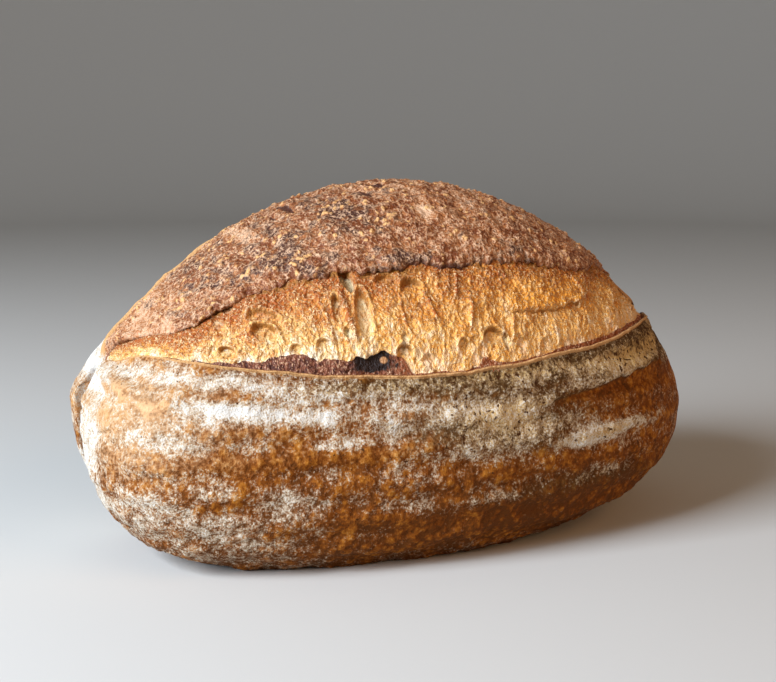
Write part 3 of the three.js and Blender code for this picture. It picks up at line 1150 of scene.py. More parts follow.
    def build(self) -> Skin:
        """Builds the skin.

        Returns:
            The crust with its flour, rim, wall, blister, smooth and dull marks, its flour haze and
            painted light, and its painted shade and outlines.
        """
        body, tuck = self.body, self.tuck
        section = body.sections(body.even_shares(self.ring_count, -1.0, 1.0))
        opening = self.score.openness(section.share)
        plan = self._rows(section, opening)
        angles = self._relaxed(section, plan.joined(plan.angles))
        plain = body.plain_points(section, angles)
        in_front = FRONT.at(-plain[..., 1])
        smooth = in_front * np.minimum(patchwork(self.bubbles, plain), 1.0)
        flour = self.dusting.at(plain, self.ledge, tuck) * (1.0 - smooth)
        relief, blister = self._relief(plain, flour, smooth)
        height = plan.joined(plan.lifts) + plan.joined(plan.weights) * relief
        height = self.end_fade.at(section.front) * height
        over_ledge, near_ledge = self.ledge.at(plain)
        bare = near_ledge * self.under_ledge.at(-over_ledge)
        lobe = ease(plain[..., 1], tuck.y - self.lobe_edge, tuck.y + self.lobe_edge)
        outline = in_front * self.bubble_outline.at(smooth)
        marks = {
            "rim": plan.joined(plan.marks["rim"]) * opening,
            "wall": plan.joined(plan.marks["wall"]) * opening,
            "flour": flour,
            "blister": blister,
            "smooth": smooth,
            # Flour haze and painted light, paler on the lit left end, with painted shade low on the flank
            "flour_haze_and_painted_light": patchwork(self.dusting.flour_haze_and_painted_light, plain) * mix(1.0, self.lobe_haze_and_light_share, lobe),
            "dull": in_front * (1.0 - bare) * patchwork(self.dusting.dull, plain),
            # Painted shade under the ledge and in the tuck, and a dark outline round the smooth bubbles
            "painted_shade_and_outline": near_ledge * self.ledge_shade.at(over_ledge) + tuck.shaded(plain) + outline,
        }
        return Skin("floured_crust", body.skin_points(section, angles, height) - MIDDLE, marks)


@dataclass(frozen=True)
class Strand:
    """A drawn out strand of crumb: its upper and lower end, its half width and its height."""

    x: float
    z: float
    foot_x: float
    foot_z: float
    half: float
    height: float
    ragged: Lumps = Lumps(3.0, 0.5)
    starts: Band = Band(-1.0, 1.5)
    fades: float = 1.5

    def at(self, points: Array) -> Array:
        """Share of the height at each point, seen from the front."""
        length = math.hypot(self.foot_x - self.x, self.foot_z - self.z)
        away_x, away_z = points[..., 0] - self.x, points[..., 2] - self.z
        turn_x, turn_z = (self.foot_x - self.x) / length, (self.foot_z - self.z) / length
        down = away_x * turn_x + away_z * turn_z
        aside = away_x * turn_z - away_z * turn_x + self.ragged.at(points)
        ends = self.starts.at(down) * (1.0 - ease(down, length - self.fades, length + self.fades))
        return ends * bell(aside, self.half) * (points[..., 1] < 0)


@dataclass(frozen=True)
class CrumbFold:
    """The fold that sags across the torn crumb, right of the middle.

    The changes across it are placed by the height over the fold's line: the pale skin and the
    shade lie under it, the toasted crest and the golden band over it.
    """

    x: float = 40.0
    z: float = 86.4
    slope: float = 0.09
    starts: Band = Band(17.0, 23.0)
    ends: Band = Band(49.0, 57.0)
    height: float = 0.8
    soft: float = 0.3
    reach: float = 3.4
    ragged: tuple[Lumps, ...] = (Lumps(7.0, 2.2), Lumps(2.2, 1.1))
    pale: Stretch = Stretch(-3.0, 2.2, 0.3)
    shade: Stretch = Stretch(-0.45, 0.45, 0.9)
    crest: Stretch = Stretch(0.5, 0.5, 0.5)
    golden_starts: Band = Band(0.0, 1.0)
    golden: Stretch = Stretch(0.0, 7.0, 0.9)

    def at(self, points: Array) -> tuple[Array, Array]:
        """Height of each point over the fold's line, and 1 where the fold runs."""
        x = points[..., 0]
        line = self.z + self.slope * np.maximum(x - self.x, 0.0)
        over = points[..., 2] - line - sum(lumps.at(points) for lumps in self.ragged)
        return over, self.starts.at(x) * (1.0 - self.ends.at(x)) * (points[..., 1] < 0)

    def relief(self, over: Array) -> Array:
        """Relief of the fold at a height over its line."""
        return self.height * np.tanh(over / self.soft) * bell(over, self.reach)

    def tint(self, over: Array) -> Array:
        """Golden tint at a height over its line."""
        return self.golden.at(over) * self.golden_starts.at(over)


@dataclass(frozen=True)
class DarkStrip:
    """The dark strip between the front lip and the pale crumb, and where it gapes."""

    least: float = 0.25
    even: float = 0.7
    shelf_starts: Band = Band(-88.0, -52.0)
    shelf_ends: Band = Band(-23.0, -20.0)
    shelf_width: float = 4.6
    right_starts: Band = Band(30.0, 44.0)
    right_ends: Band = Band(92.0, 100.0)
    right_width: float = 1.2
    gapes: tuple[Stretch, ...] = (
        Stretch(-33.0, 7.0, 2.6),
        Stretch(-28.0, 3.6, 1.8),
        Stretch(7.0, 2.0, 3.4),
        Stretch(12.0, 5.0, 0.6),
        Stretch(92.0, 9.0, 0.4),
        Stretch(-58.0, 7.0, 1.4),
    )
    frayed: tuple[Lumps, ...] = (Lumps(5.3, 0.9), Lumps(2.3, 0.45), Lumps(1.0, 0.12))
    frayed_lane: float = 4.1
    frayed_share: float = 0.36
    frayed_width: float = 0.4

    def width(self, section: Section) -> Array:
        """Width of the strip on each ring."""
        x = section.x
        shelf = self.shelf_starts.at(x) * (1.0 - self.shelf_ends.at(x))
        right = self.right_starts.at(x) * (1.0 - self.right_ends.at(x))
        width = self.even + self.shelf_width * shelf + self.right_width * right
        width = width + sum(gape.at(x) for gape in self.gapes)
        places = np.stack([x, section.front, np.full_like(x, self.frayed_lane)], axis=-1)
        frayed = sum(lumps.at(places) for lumps in self.frayed)
        width = width * (1.0 + self.frayed_share * frayed) + self.frayed_width * frayed
        return np.maximum(width, self.least)


@dataclass(frozen=True)
class Web:
    """A web of thin walls between small cells: the size of a cell, its walls and their height."""

    size: tuple[float, float, float]
    wall: Band
    height: float

    def at(self, lane: Array) -> Array:
        """1 on a wall of the web and 0 in a cell."""
        near, second = cells(lane, self.size)
        return 1.0 - self.wall.at(second - near)


@dataclass(frozen=True)
class TornCrumb:
    """The pale crumb that tore open, from the dark strip behind the lip to under the dome."""

    body: LoafBody
    score: Score
    strip: DarkStrip = DarkStrip()
    fold: CrumbFold = CrumbFold()
    ring_count: int = 620
    strip_rows: int = 24
    face_rows: int = 120
    inner_rows: int = 6
    past_corner: float = 0.006
    under_lip: float = 1.6
    under_dome: float = 5.0
    inner_gap: float = 0.2
    strip_from: float = 0.6
    most_strip: float = 0.75
    strip_depth: float = 1.1
    strip_relief: float = 0.5
    pocket: Stretch = Stretch(-33.0, 7.0, 1.0)
    pocket_depth: float = 1.8
    pocket_up: Band = Band(0.1, 0.5)
    foot_depth: float = 1.3
    foot_reach: float = 0.1
    face_depth: float = 0.9
    edge_depth: float = 0.6
    edge_starts: Band = Band(0.9, 1.05)
    right_sink: float = 3.0
    sink_starts: Band = Band(80.0, 94.0)
    sink_up: Band = Band(0.0, 0.6)
    shut_depth: float = 1.6
    slab: float = 7.0
    inner_depth: float = 3.0
    most_climb: float = 1.3
    bends: tuple[Lumps, ...] = (Lumps(9.0, 1.6), Lumps(3.4, 0.8), Lumps(1.6, 0.3))
    bend_up: float = 0.6
    lane_depth: float = 0.15
    uneven: tuple[Lumps, ...] = (Lumps(11.0, 0.9), Lumps(4.4, 0.6))
    web: Web = Web((3.2, 8.0, 40.0), Band(0.02, 0.24), 0.3)
    fine_web: Web = Web((1.2, 2.6, 40.0), Band(0.02, 0.3), 0.26)
    high: Band = Band(0.25, 0.8)
    high_share: float = 0.6
    curl_bend: Lumps = Lumps(2.6, 0.8)
    curls: Lumps = Lumps(1.7, 1.0, Grain.RIDGED)
    curl_height: float = 0.45
    curl_middle: float = 0.5
    bubbles: ScatteredBubbles = ScatteredBubbles((3.8, 6.5, 40.0), share=0.3, depth=0.8)
    bubble_rim: float = 0.4
    bubble_pale: float = 0.4
    bubble_toast: float = 0.7
    bubble_shade: float = 0.6
    fine_toast: float = 0.8
    curl_toast: float = 0.6
    dome_shade: Band = Band(0.82, 1.0)
    dome_shade_clouds: Lumps = Lumps(3.0, 1.0)
    dome_shade_share: Band = Band(-0.3, 0.3)
    right_toast: float = 0.5
    right_toast_from: Band = Band(62.0, 88.0)
    right_toast_clouds: Lumps = Lumps(3.4, 1.0)
    right_toast_even: float = 0.7
    hole_calm: float = 0.7
    hole_rim: float = 0.6
    hole_pale_rim: float = 0.5
    strand_toast: float = 0.7
    most_ridge: float = 1.5
    silk: Lumps = Lumps((2.2, 9.0, 40.0), 1.0)
    silk_even: float = 0.5
    golden: Band = Band(-70.0, -8.0)
    tan_blob: Patch = Patch(-29.3, 73.0, 1.5, 1.4, 1.0)
    blob_height: float = 1.2
    strands: tuple[Strand, ...] = (
        Strand(-12.2, 95.5, -8.5, 83.9, 0.6, 0.9),
        Strand(-20.3, 92.4, -20.3, 84.0, 0.45, 0.8),
        Strand(-20.3, 84.0, -18.1, 80.0, 0.45, 0.8),
        Strand(-4.8, 100.6, -6.3, 94.5, 0.5, 0.7),
        Strand(2.6, 100.6, -0.4, 91.4, 0.6, 0.8),
        Strand(4.8, 91.3, 3.3, 81.9, 0.5, 0.7),
        Strand(20.3, 85.0, 18.1, 76.2, 0.5, 0.8),
        Strand(-40.3, 94.5, -37.6, 78.8, 0.9, 1.3),
        Strand(-63.0, 83.8, -61.1, 79.4, 0.6, 1.0),
        Strand(-46.0, 88.0, -45.0, 78.0, 0.5, 0.6),
        Strand(38.0, 83.0, 37.0, 74.0, 0.45, 0.6),
        Strand(52.0, 95.0, 56.0, 88.0, 0.5, 0.7),
    )
    holes: tuple[Arch, ...] = (
        Arch(-36.7, 98.8, 2.5, 4.8, 4.0, closed=1.0, lean=-0.08),
        Arch(-33.6, 87.4, 3.1, 8.4, 1.3, closed=0.7, lean=0.04),
        Arch(-42.0, 89.2, 2.0, 4.6, 1.6, closed=0.5),
        Arch(-40.3, 82.0, 1.2, 1.9, 1.4, closed=1.0),
        Arch(-65.2, 85.4, 5.4, 3.8, 1.6, lean=-0.3),
        Arch(-66.0, 81.2, 4.4, 3.8, 2.2, lean=-0.3),
        Arch(-75.7, 89.4, 2.2, 2.6, 1.5, closed=0.6),
        Arch(-79.3, 83.6, 1.9, 2.8, 0.8, closed=0.5),
        Arch(-78.8, 75.2, 2.7, 2.3, 1.8),
        Arch(-57.3, 76.4, 2.6, 2.2, 1.3),
        Arch(-48.6, 77.8, 2.6, 2.4, 1.3),
        Arch(-23.5, 97.6, 4.2, 2.8, 1.6),
        Arch(-15.4, 95.0, 4.4, 3.8, 2.2),
        Arch(-21.7, 73.8, 3.3, 4.0, 1.7),
        Arch(-21.0, 79.6, 1.6, 1.8, 0.9, closed=0.8),
        Arch(-14.0, 72.2, 2.0, 2.2, 1.0),
        Arch(-0.4, 75.6, 2.2, 3.2, 1.4, closed=0.3),
        Arch(11.0, 76.8, 4.4, 5.0, 1.8),
        Arch(15.8, 76.2, 1.1, 3.4, 1.8, closed=0.8, lean=-0.15),
        Arch(84.0, 79.0, 3.0, 3.4, 1.2, closed=0.5),
    )

    def _face(self, points: Array, run: Array, up: Array, climb: Array) -> dict[str, Array]:
        """Works out the torn face.

        Args:
            points: Places on the plain skin in millimetres.
            run: Distance of each ring along the loaf.
            up: Distance of each point up the skin from the lip.
            climb: Place between the foot of the crumb, 0, and the dome's edge, 1.

        Returns:
            The relief in millimetres, and the ridge, hollow, shade, silk and tint marks.
        """
        bend = sum(lumps.at(points) for lumps in self.bends)
        lane = (run + bend, up + self.bend_up * bend, self.lane_depth * up)
        lane = np.stack(np.broadcast_arrays(*lane), axis=-1)
        web, fine_web = self.web.at(lane), self.fine_web.at(lane)
        curls = self.curls.at(points + self.curl_bend.at(points)[..., None])
        depth, rim, rim_shade = self.bubbles.at(lane)
        high = self.high.at(climb)
        less_high = mix(1.0, self.high_share, high)
        over, here = self.fold.at(points)
        relief = sum(lumps.at(points) for lumps in self.uneven)
        relief = relief + self.web.height * less_high * web + self.fine_web.height * fine_web
        relief = relief + self.curl_height * high * (curls - self.curl_middle)
        relief = relief + self.bubble_rim * rim - self.bubbles.depth * less_high * depth
        relief = relief + here * self.fold.relief(over)
        hollow = np.maximum(self.bubble_pale * depth, here * self.fold.pale.at(over))
        ridge = np.maximum(web, self.fine_toast * fine_web)
        curled = np.maximum(self.curl_toast * ridge, curls)
        ridge = np.maximum(mix(ridge, curled, high), self.bubble_toast * rim)
        ridge = ridge + here * self.fold.crest.at(over)
        # Painted shade under the bubbles' rims, under the fold and under the dome's edge; the toast at
        # the right end is the crumb's own colour
        shade = self.bubble_shade * rim_shade + here * self.fold.shade.at(over)
        patchy = self.dome_shade_share.at(self.dome_shade_clouds.at(points))
        shade = shade + self.dome_shade.at(climb) * patchy
        patchy = self.right_toast_even + self.right_toast_clouds.at(points)
        shade = shade + self.right_toast * self.right_toast_from.at(points[..., 0]) * patchy
        for hole in self.holes:
            sunk, edge, dark = hole.at(points)
            calm = 1.0 - self.hole_calm * sunk
            relief = relief - hole.depth * sunk + self.hole_rim * edge
            pale = np.maximum(sunk * hole.pale * (1.0 - dark), self.hole_pale_rim * edge)
            hollow = np.maximum(hollow, pale)
            ridge = ridge * calm * (1.0 - self.hole_pale_rim * edge)
            shade = np.maximum(shade * calm, dark * hole.dark)
        for strand in self.strands:
            drawn = strand.at(points)
            relief = relief + strand.height * drawn
            ridge = ridge + self.strand_toast * drawn
        return {
            "relief": relief,
            "ridge": np.clip(ridge, 0.0, self.most_ridge),
            "hollow": hollow,
            "shade": shade,
            "silk": self.silk_even + self.silk.at(lane),
            "tint": self.golden.at(points[..., 0]) + here * self.fold.tint(over),
        }

    def build(self) -> Skin:
        """Builds the skin.

        Returns:
            The crumb with its climb, ridge, hollow, shade, silk, tint, char, blob and pocket marks.
        """
        body, score = self.body, self.score
        low = -score.left_corner.share - self.past_corner
        high = score.right_corner.share + self.past_corner
        section = body.sections(body.even_shares(self.ring_count, low, high))
        lip, dome = score.lip(section), score.dome_edge(section)
        opening = score.openness(section.share)
        spread = mix(SHUT_SPREAD, 1.0, opening)
        strip = spread * (self.strip_from + self.strip.width(section))
        crumb_foot = np.minimum(body.past(section, lip, strip), mix(lip, dome, self.most_strip))
        pocket = self.pocket.at(section.x)
        shut = self.shut_depth * (1.0 - opening)
        strip_lift = -opening * (self.strip_depth + self.pocket_depth * pocket) - shut
        start = body.past(section, lip, -self.under_lip * spread)
        end = body.past(section, dome, self.under_dome * spread)
        inner_start = body.past(section, dome, (self.under_dome + self.inner_gap) * spread)
        inner_end = body.past(section, lip, -(self.under_lip + self.inner_gap) * spread)
        inner_lift = -self.slab * opening - self.inner_depth
        plan = RowPlan(body, section)
        plan.stretch(start, crumb_foot, self.strip_rows, strip_lift, self.strip_relief, char=1.0)
        plan.stretch(crumb_foot, end, self.face_rows, lift=-self.face_depth * opening - shut)
        plan.stretch(inner_start, inner_end, self.inner_rows, lift=inner_lift, weight=0.0)
        angles = plan.joined(plan.angles)
        plain = body.plain_points(section, angles)
        up = (angles - lip) / body.degrees(section, mix(lip, dome, 0.5), np.ones_like(lip))
        climb = (angles - crumb_foot) / np.maximum(dome - crumb_foot, LEAST_ANGLE)
        climb = np.clip(climb, 0.0, self.most_climb)
        marks = self._face(plain, body.run(section), up, climb)
        blob = self.tan_blob.at(plain) * (plain[..., 1] < 0)
        relief = marks.pop("relief") + self.blob_height * blob
        face = slice(self.strip_rows, self.strip_rows + self.face_rows)
        face_climb = climb[:, face]
        sunk = opening * (self.foot_depth - self.face_depth) * bell(face_climb, self.foot_reach)
        sunk = sunk + opening * self.edge_depth * self.edge_starts.at(face_climb)
        sunk = sunk + self.right_sink * self.sink_starts.at(section.x) * self.sink_up.at(face_climb)
        lifts = plan.joined(plan.lifts).copy()
        lifts[:, face] -= sunk
        height = lifts + plan.joined(plan.weights) * relief * mix(SHUT_RELIEF, 1.0, opening)
        points = body.skin_points(section, angles, height) - MIDDLE
        up_strip = (angles - lip) / np.maximum(crumb_foot - lip, LEAST_ANGLE)
        marks["climb"] = climb
        marks["char"] = plan.joined(plan.marks["char"])
        marks["blob"] = blob
        # Where the deep pocket lies in the strip, which the finish fills with near-black painted shade
        marks["pocket"] = marks["char"] * pocket * self.pocket_up.at(up_strip)
        return Skin("torn_crumb", gathered_ends(points), marks)


@dataclass(frozen=True)
class BrownedDome:
    """The browned, blistered dome between its ragged front edge and the rear lip."""

    body: LoafBody
    score: Score
    ring_count: int = 560
    dome_rows: int = 148
    rear_rows: int = 3
    inner_rows: int = 5
    past_corner: float = 0.003
    right_end: float = 0.735
    overhang: Steps = (
        (3.4, -4.6), (2.0, -3.4), (1.2, -2.4), (0.6, -1.6),
        (0.15, -0.9), (-0.05, -0.5), (0.0, -0.15), (0.25, 0.1),
    )
    overhang_relief: float = 0.8
    dome_from: float = 0.5
    before_rear: float = 0.6
    rear_from: float = 0.4
    past_rear: float = 1.2
    rear_depth: float = 3.5
    inner_end: float = 3.6
    height: float = 1.0
    height_grows: Band = Band(-80.0, -34.0)
    left_height_share: float = 0.4
    shut_depth: float = 1.8
    slab: float = 5.5
    inner_depth: float = 3.0
    bend: Lumps = Lumps(5.0, 1.1)
    worms: Lumps = Lumps(1.9, 1.0, Grain.RIDGED)
    worm_height: float = 0.35
    blisters: Blisters = Blisters(spacing=2.6, reach=0.4, height=0.6)
    blister_clouds: Lumps = Lumps(6.0, 1.0)
    blister_share: Band = Band(-0.1, 0.3)
    uneven: tuple[Lumps, ...] = (Lumps(9.0, 0.9), Lumps(4.2, 1.0))
    frayed: tuple[Lumps, ...] = (Lumps(1.6, 0.9), Lumps(4.2, 0.4))
    frayed_reach: float = 3.0
    rolled: Band = Band(-3.5, -0.5)
    rolled_depth: float = 0.8
    burnt_reach: float = 2.8
    burnt_even: float = 0.5
    # Painted shadow under the middle of the dome's edge, over its burnt colour
    edge_shadow: Stretch = Stretch(2.0, 24.0, 0.3)
    pit_front: Band = Band(-3.0, 1.0)
    burnt_pit: Band = Band(0.6, 1.3)
    patch_front: Band = Band(-14.0, 0.0)
    pits: tuple[Patch, ...] = (
        Patch(-45.5, 118.2, 3.4, 0.7, 2.2),
        Patch(-49.5, 115.0, 1.4, 0.6, 1.8),
        Patch(-29.7, 121.9, 3.0, 0.7, 1.4),
        Patch(-17.4, 124.2, 2.8, 0.9, 1.9),
        Patch(-10.7, 126.8, 4.4, 0.6, 2.2),
        Patch(1.1, 127.2, 2.2, 0.5, 1.6),
    )
    scorched: tuple[Patch, ...] = (
        Patch(-80, 97, 15, 9, 0.52),
        Patch(-58, 108, 13, 7, 0.46),
        Patch(-28, 116, 16, 8, 0.7),
        Patch(-14, 104, 22, 2.2, 0.5),
        Patch(-50, 101, 12, 4, 0.6),
        Patch(34, 106, 16, 6, 0.3),
        Patch(-88, 84, 9, 3, 0.6),
    )
    pale: tuple[Patch, ...] = (
        Patch(-62.5, 110, 3.6, 2.6, 1.0),
        Patch(-0.5, 119, 3.0, 2.6, 1.0),
        # Painted light: a paler wash on the dome's lit left end
        Patch(-98, 82, 16, 12, 0.4),
        Patch(-52, 95, 8, 2.5, 0.4),
    )

    def _pit(self, points: Array) -> Array:
        """Depth of the burnt pits under the crest."""
        return self.pit_front.at(-points[..., 1]) * patchwork(self.pits, points)

    def _relief(self, points: Array) -> tuple[Array, Array, Array]:
        """Relief of the dome, how far each point is up a blister, and its thin curled ridges."""
        bent = points + self.bend.at(points)[..., None]
        worms = self.worms.at(bent)
        patchy = self.blister_share.at(self.blister_clouds.at(points))
        blister = self.blisters.at(bent) * patchy
        relief = sum(lumps.at(points) for lumps in self.uneven)
        relief = relief + self.worm_height * worms + self.blisters.height * blister
        return relief - self._pit(points), blister, worms

    def _rows(self, section: Section, dome: Array, opening: Array) -> RowPlan:
        """Lays out the rows of every ring, from under the ragged edge to the rear lip and back.

        Args:
            section: The sections, one for each ring.
            dome: Angle of the dome's edge on each ring.
            opening: How far the score stands open on each ring.

        Returns:
            The rows.
        """
        body = self.body
        rear = self.score.rear(section)
        spread = mix(SHUT_SPREAD, 1.0, opening)
        shut = self.shut_depth * (1.0 - opening)
        high = self.height * mix(self.left_height_share, 1.0, self.height_grows.at(section.x))
        plan = RowPlan(body, section)
        plan.profile(dome, spread, self.overhang, opening, self.overhang_relief)
        start = body.past(section, dome, self.dome_from * spread)
        end = body.past(section, rear, -self.before_rear * spread)
        plan.stretch(start, end, self.dome_rows, lift=opening * high - shut)
        start = body.past(section, rear, -self.rear_from * spread)
        end = body.past(section, rear, self.past_rear * spread)
        plan.stretch(start, end, self.rear_rows, lift=-self.rear_depth * opening - shut, weight=0.0)
        inner_lift = -self.slab * opening - self.inner_depth
        inner_end = body.past(section, dome, self.inner_end * spread)
        plan.stretch(end, inner_end, self.inner_rows, lift=inner_lift, weight=0.0)
        return plan

    def build(self) -> Skin:
        """Builds the skin.

        Returns:
            The dome with its blister, worm, scorch, pale and edge marks.
        """
        body, score = self.body, self.score
        low = -score.left_corner.share - self.past_corner
        section = body.sections(body.even_shares(self.ring_count, low, self.right_end))
        dome = score.dome_edge(section)
        opening = score.openness(section.share)
        plan = self._rows(section, dome, opening)
        angles = plan.joined(plan.angles)
        plain = body.plain_points(section, angles)
        relief, blister, worms = self._relief(plain)
        from_edge = (angles - dome) / body.degrees(section, dome, np.ones_like(dome))
        frayed = sum(lumps.at(plain) for lumps in self.frayed)
        relief = relief + bell(from_edge, self.frayed_reach) * frayed
        relief = relief - self.rolled_depth * self.rolled.at(-from_edge)
        height = plan.joined(plan.weights) * relief * mix(SHUT_RELIEF, 1.0, opening)
        height = plan.joined(plan.lifts) + height
        points = body.skin_points(section, angles, height) - MIDDLE
        in_front = self.patch_front.at(-plain[..., 1])
        # Burnt colour along the edge, with painted shadow under its middle
        burnt = self.burnt_even + self.edge_shadow.at(section.x)
        burnt = burnt * np.clip(1.0 - from_edge / self.burnt_reach, 0.0, 1.0)
        marks = {
            "blister": blister,
            "worm": worms,
            "scorch": in_front * patchwork(self.scorched, plain),
            "pale": in_front * patchwork(self.pale, plain),
            "edge": burnt + self.burnt_pit.at(self._pit(plain)),
        }
        return Skin("browned_dome", gathered_ends(points), marks)


def linear(colour: str) -> tuple[float, float, float, float]:
    """Turns an sRGB hex colour into Blender's linear colour, by the standard sRGB curve."""
    parts = [int(colour[start:start + 2], 16) / 255 for start in (1, 3, 5)]
    red, green, blue = [
        part / 12.92 if part <= 0.04045 else ((part + 0.055) / 1.055) ** 2.4 for part in parts
    ]
    return red, green, blue, 1.0


def per_metre(size: float) -> float:
    """Texture scale that gives a pattern of a size in millimetres."""
    return 1.0 / (size * MM)


@dataclass(frozen=True)
class Clouds:
    """A cloudy pattern: its name, the size of its clouds in millimetres and its finer detail."""

    name: str
    size: float
    detail: float


@dataclass(frozen=True)
class Ground:
    """The lowest colours of a finish: a run of stops along a weighed sum of patterns."""

    weights: Weights
    offset: float
    stops: tuple[tuple[float, str], ...]


@dataclass(frozen=True)
class Coat:
    """A colour that lies over the ones below it where a weighed sum of patterns is high.

    It starts to show at one value of the sum and covers at the other. The colour is sRGB hex, or
    the name of colours that were painted before.
    """

    name: str
    colour: str
    start: float
    full: float
    weights: Weights


@dataclass
class Painter:
    """The node tree of one material, its patterns by name, and the moves that the finishes share."""

    name: str
    material: bpy.types.Material = field(init=False)
    tree: bpy.types.NodeTree = field(init=False)
    place: bpy.types.NodeSocket = field(init=False)
    patterns: dict[str, bpy.types.NodeSocket] = field(default_factory=dict)
    noise_middle: float = 0.5
    line_edge: float = 0.08
    line_core: float = 0.01

    def __post_init__(self) -> None:
        """Makes the material with an empty tree and its coordinates."""
        self.material = bpy.data.materials.new(self.name)
        self.material.use_nodes = True
        self.tree = self.material.node_tree
        self.tree.nodes.clear()
        self.place = self.add("ShaderNodeTexCoord", {}, "Object")

    def add(
        self,
        kind: str,
        inputs: dict[str | int, object],
        output: str | int = 0,
        stops: tuple[tuple[float, str], ...] = (),
        **settings: object,
    ) -> bpy.types.NodeSocket | None:
        """Adds a node with its settings, values and links.

        Args:
            kind: Node type.
            inputs: Linked socket, sRGB hex colour or value of each input, by name or number.
            output: Name or number of the output to hand back.
            stops: Places and colours of a colour ramp.
            settings: Attributes of the node.

        Returns:
            The node's output, or nothing where it has none.
        """
        node = self.tree.nodes.new(kind)
        for name, value in settings.items():
            setattr(node, name, value)
        for key, value in inputs.items():
            if isinstance(value, bpy.types.NodeSocket):
                self.tree.links.new(value, node.inputs[key])
            else:
                node.inputs[key].default_value = linear(value) if isinstance(value, str) else value
        for index, (place, colour) in enumerate(stops):
            elements = node.color_ramp.elements
            stop = elements[index] if index < 2 else elements.new(place)
            stop.position = place
            stop.color = linear(colour)
        return node.outputs[output] if node.outputs else None

    def gather(
        self, marks: tuple[str, ...], clouds: tuple[Clouds, ...], place: bpy.types.NodeSocket
    ) -> None:
        """Keeps the mesh's marks and a few cloudy patterns under their names.

        Args:
            marks: Names of the attributes that the mesh carries.
            clouds: The cloudy patterns.
            place: Coordinates that the clouds are drawn on.
        """
        for name in marks:
            self.patterns[name] = self.add("ShaderNodeAttribute", {}, "Fac", attribute_name=name)
        for cloud in clouds:
            inputs = {"Vector": place, "Scale": per_metre(cloud.size), "Detail": cloud.detail}
            self.patterns[cloud.name] = self.add("ShaderNodeTexNoise", inputs)

    def weigh(self, weights: Weights, offset: float = 0.0) -> bpy.types.NodeSocket:
        """Adds named patterns up over an offset, each with its weight."""
        total: object = offset
        for name, weight in weights:
            inputs = {0: self.patterns[name], 1: weight, 2: total}
            total = self.add("ShaderNodeMath", inputs, operation="MULTIPLY_ADD")
        return total

    def curled_lines(self, size: float) -> bpy.types.NodeSocket:
        """Thin curled lines a size in millimetres apart: 1 on a line and 0 off it."""
        soft = self.add("ShaderNodeTexNoise", {"Vector": self.place, "Scale": per_metre(size)})
        swing = self.add("ShaderNodeMath", {0: soft, 1: self.noise_middle}, operation="SUBTRACT")
        away = self.add("ShaderNodeMath", {0: swing}, operation="ABSOLUTE")
        inputs = {"Value": away, "From Min": self.line_edge, "From Max": self.line_core}
        return self.add("ShaderNodeMapRange", inputs, interpolation_type="SMOOTHSTEP")

    def build_up(self, ground: Ground, coats: tuple[Coat, ...]) -> bpy.types.NodeSocket:
        """Lays coats over a ground, and keeps the share that each one covers under its name.

        Args:
            ground: The lowest colours.
            coats: The coats, the lowest first.

        Returns:
            The colour of them all.
        """
        tone = self.weigh(ground.weights, ground.offset)
        colour = self.add("ShaderNodeValToRGB", {"Fac": tone}, stops=ground.stops)
        for coat in coats:
            inputs = {"Value": self.weigh(coat.weights), "From Min": coat.start, "From Max": coat.full}
            share = self.add("ShaderNodeMapRange", inputs, interpolation_type="SMOOTHSTEP")
            self.patterns[coat.name] = share
            over = self.patterns.get(coat.colour, coat.colour)
            inputs = {MIX_SHARE: share, MIX_UNDER: colour, MIX_OVER: over}
            colour = self.add("ShaderNodeMix", inputs, MIX_RESULT, data_type="RGBA", label=coat.name)
        return colour

    def finish(
        self, colour: object, height: object, bump: float, roughness: float, gloss: float
    ) -> bpy.types.Material:
        """Closes the tree.

        Args:
            colour: Base colour.
            height: Fine relief, from 0 to 1.
            bump: Height of the fine relief in millimetres.
            roughness: Roughness of the surface.
            gloss: Level of its shine.

        Returns:
            The material.
        """
        inputs = {"Height": height, "Strength": 1.0, "Distance": bump * MM}
        normal = self.add("ShaderNodeBump", inputs)
        inputs = {"Base Color": colour, "Roughness": roughness, "Normal": normal}
        inputs["Specular IOR Level"] = gloss
        shader = self.add("ShaderNodeBsdfPrincipled", inputs)
        self.add("ShaderNodeOutputMaterial", {"Surface": shader})
        return self.material


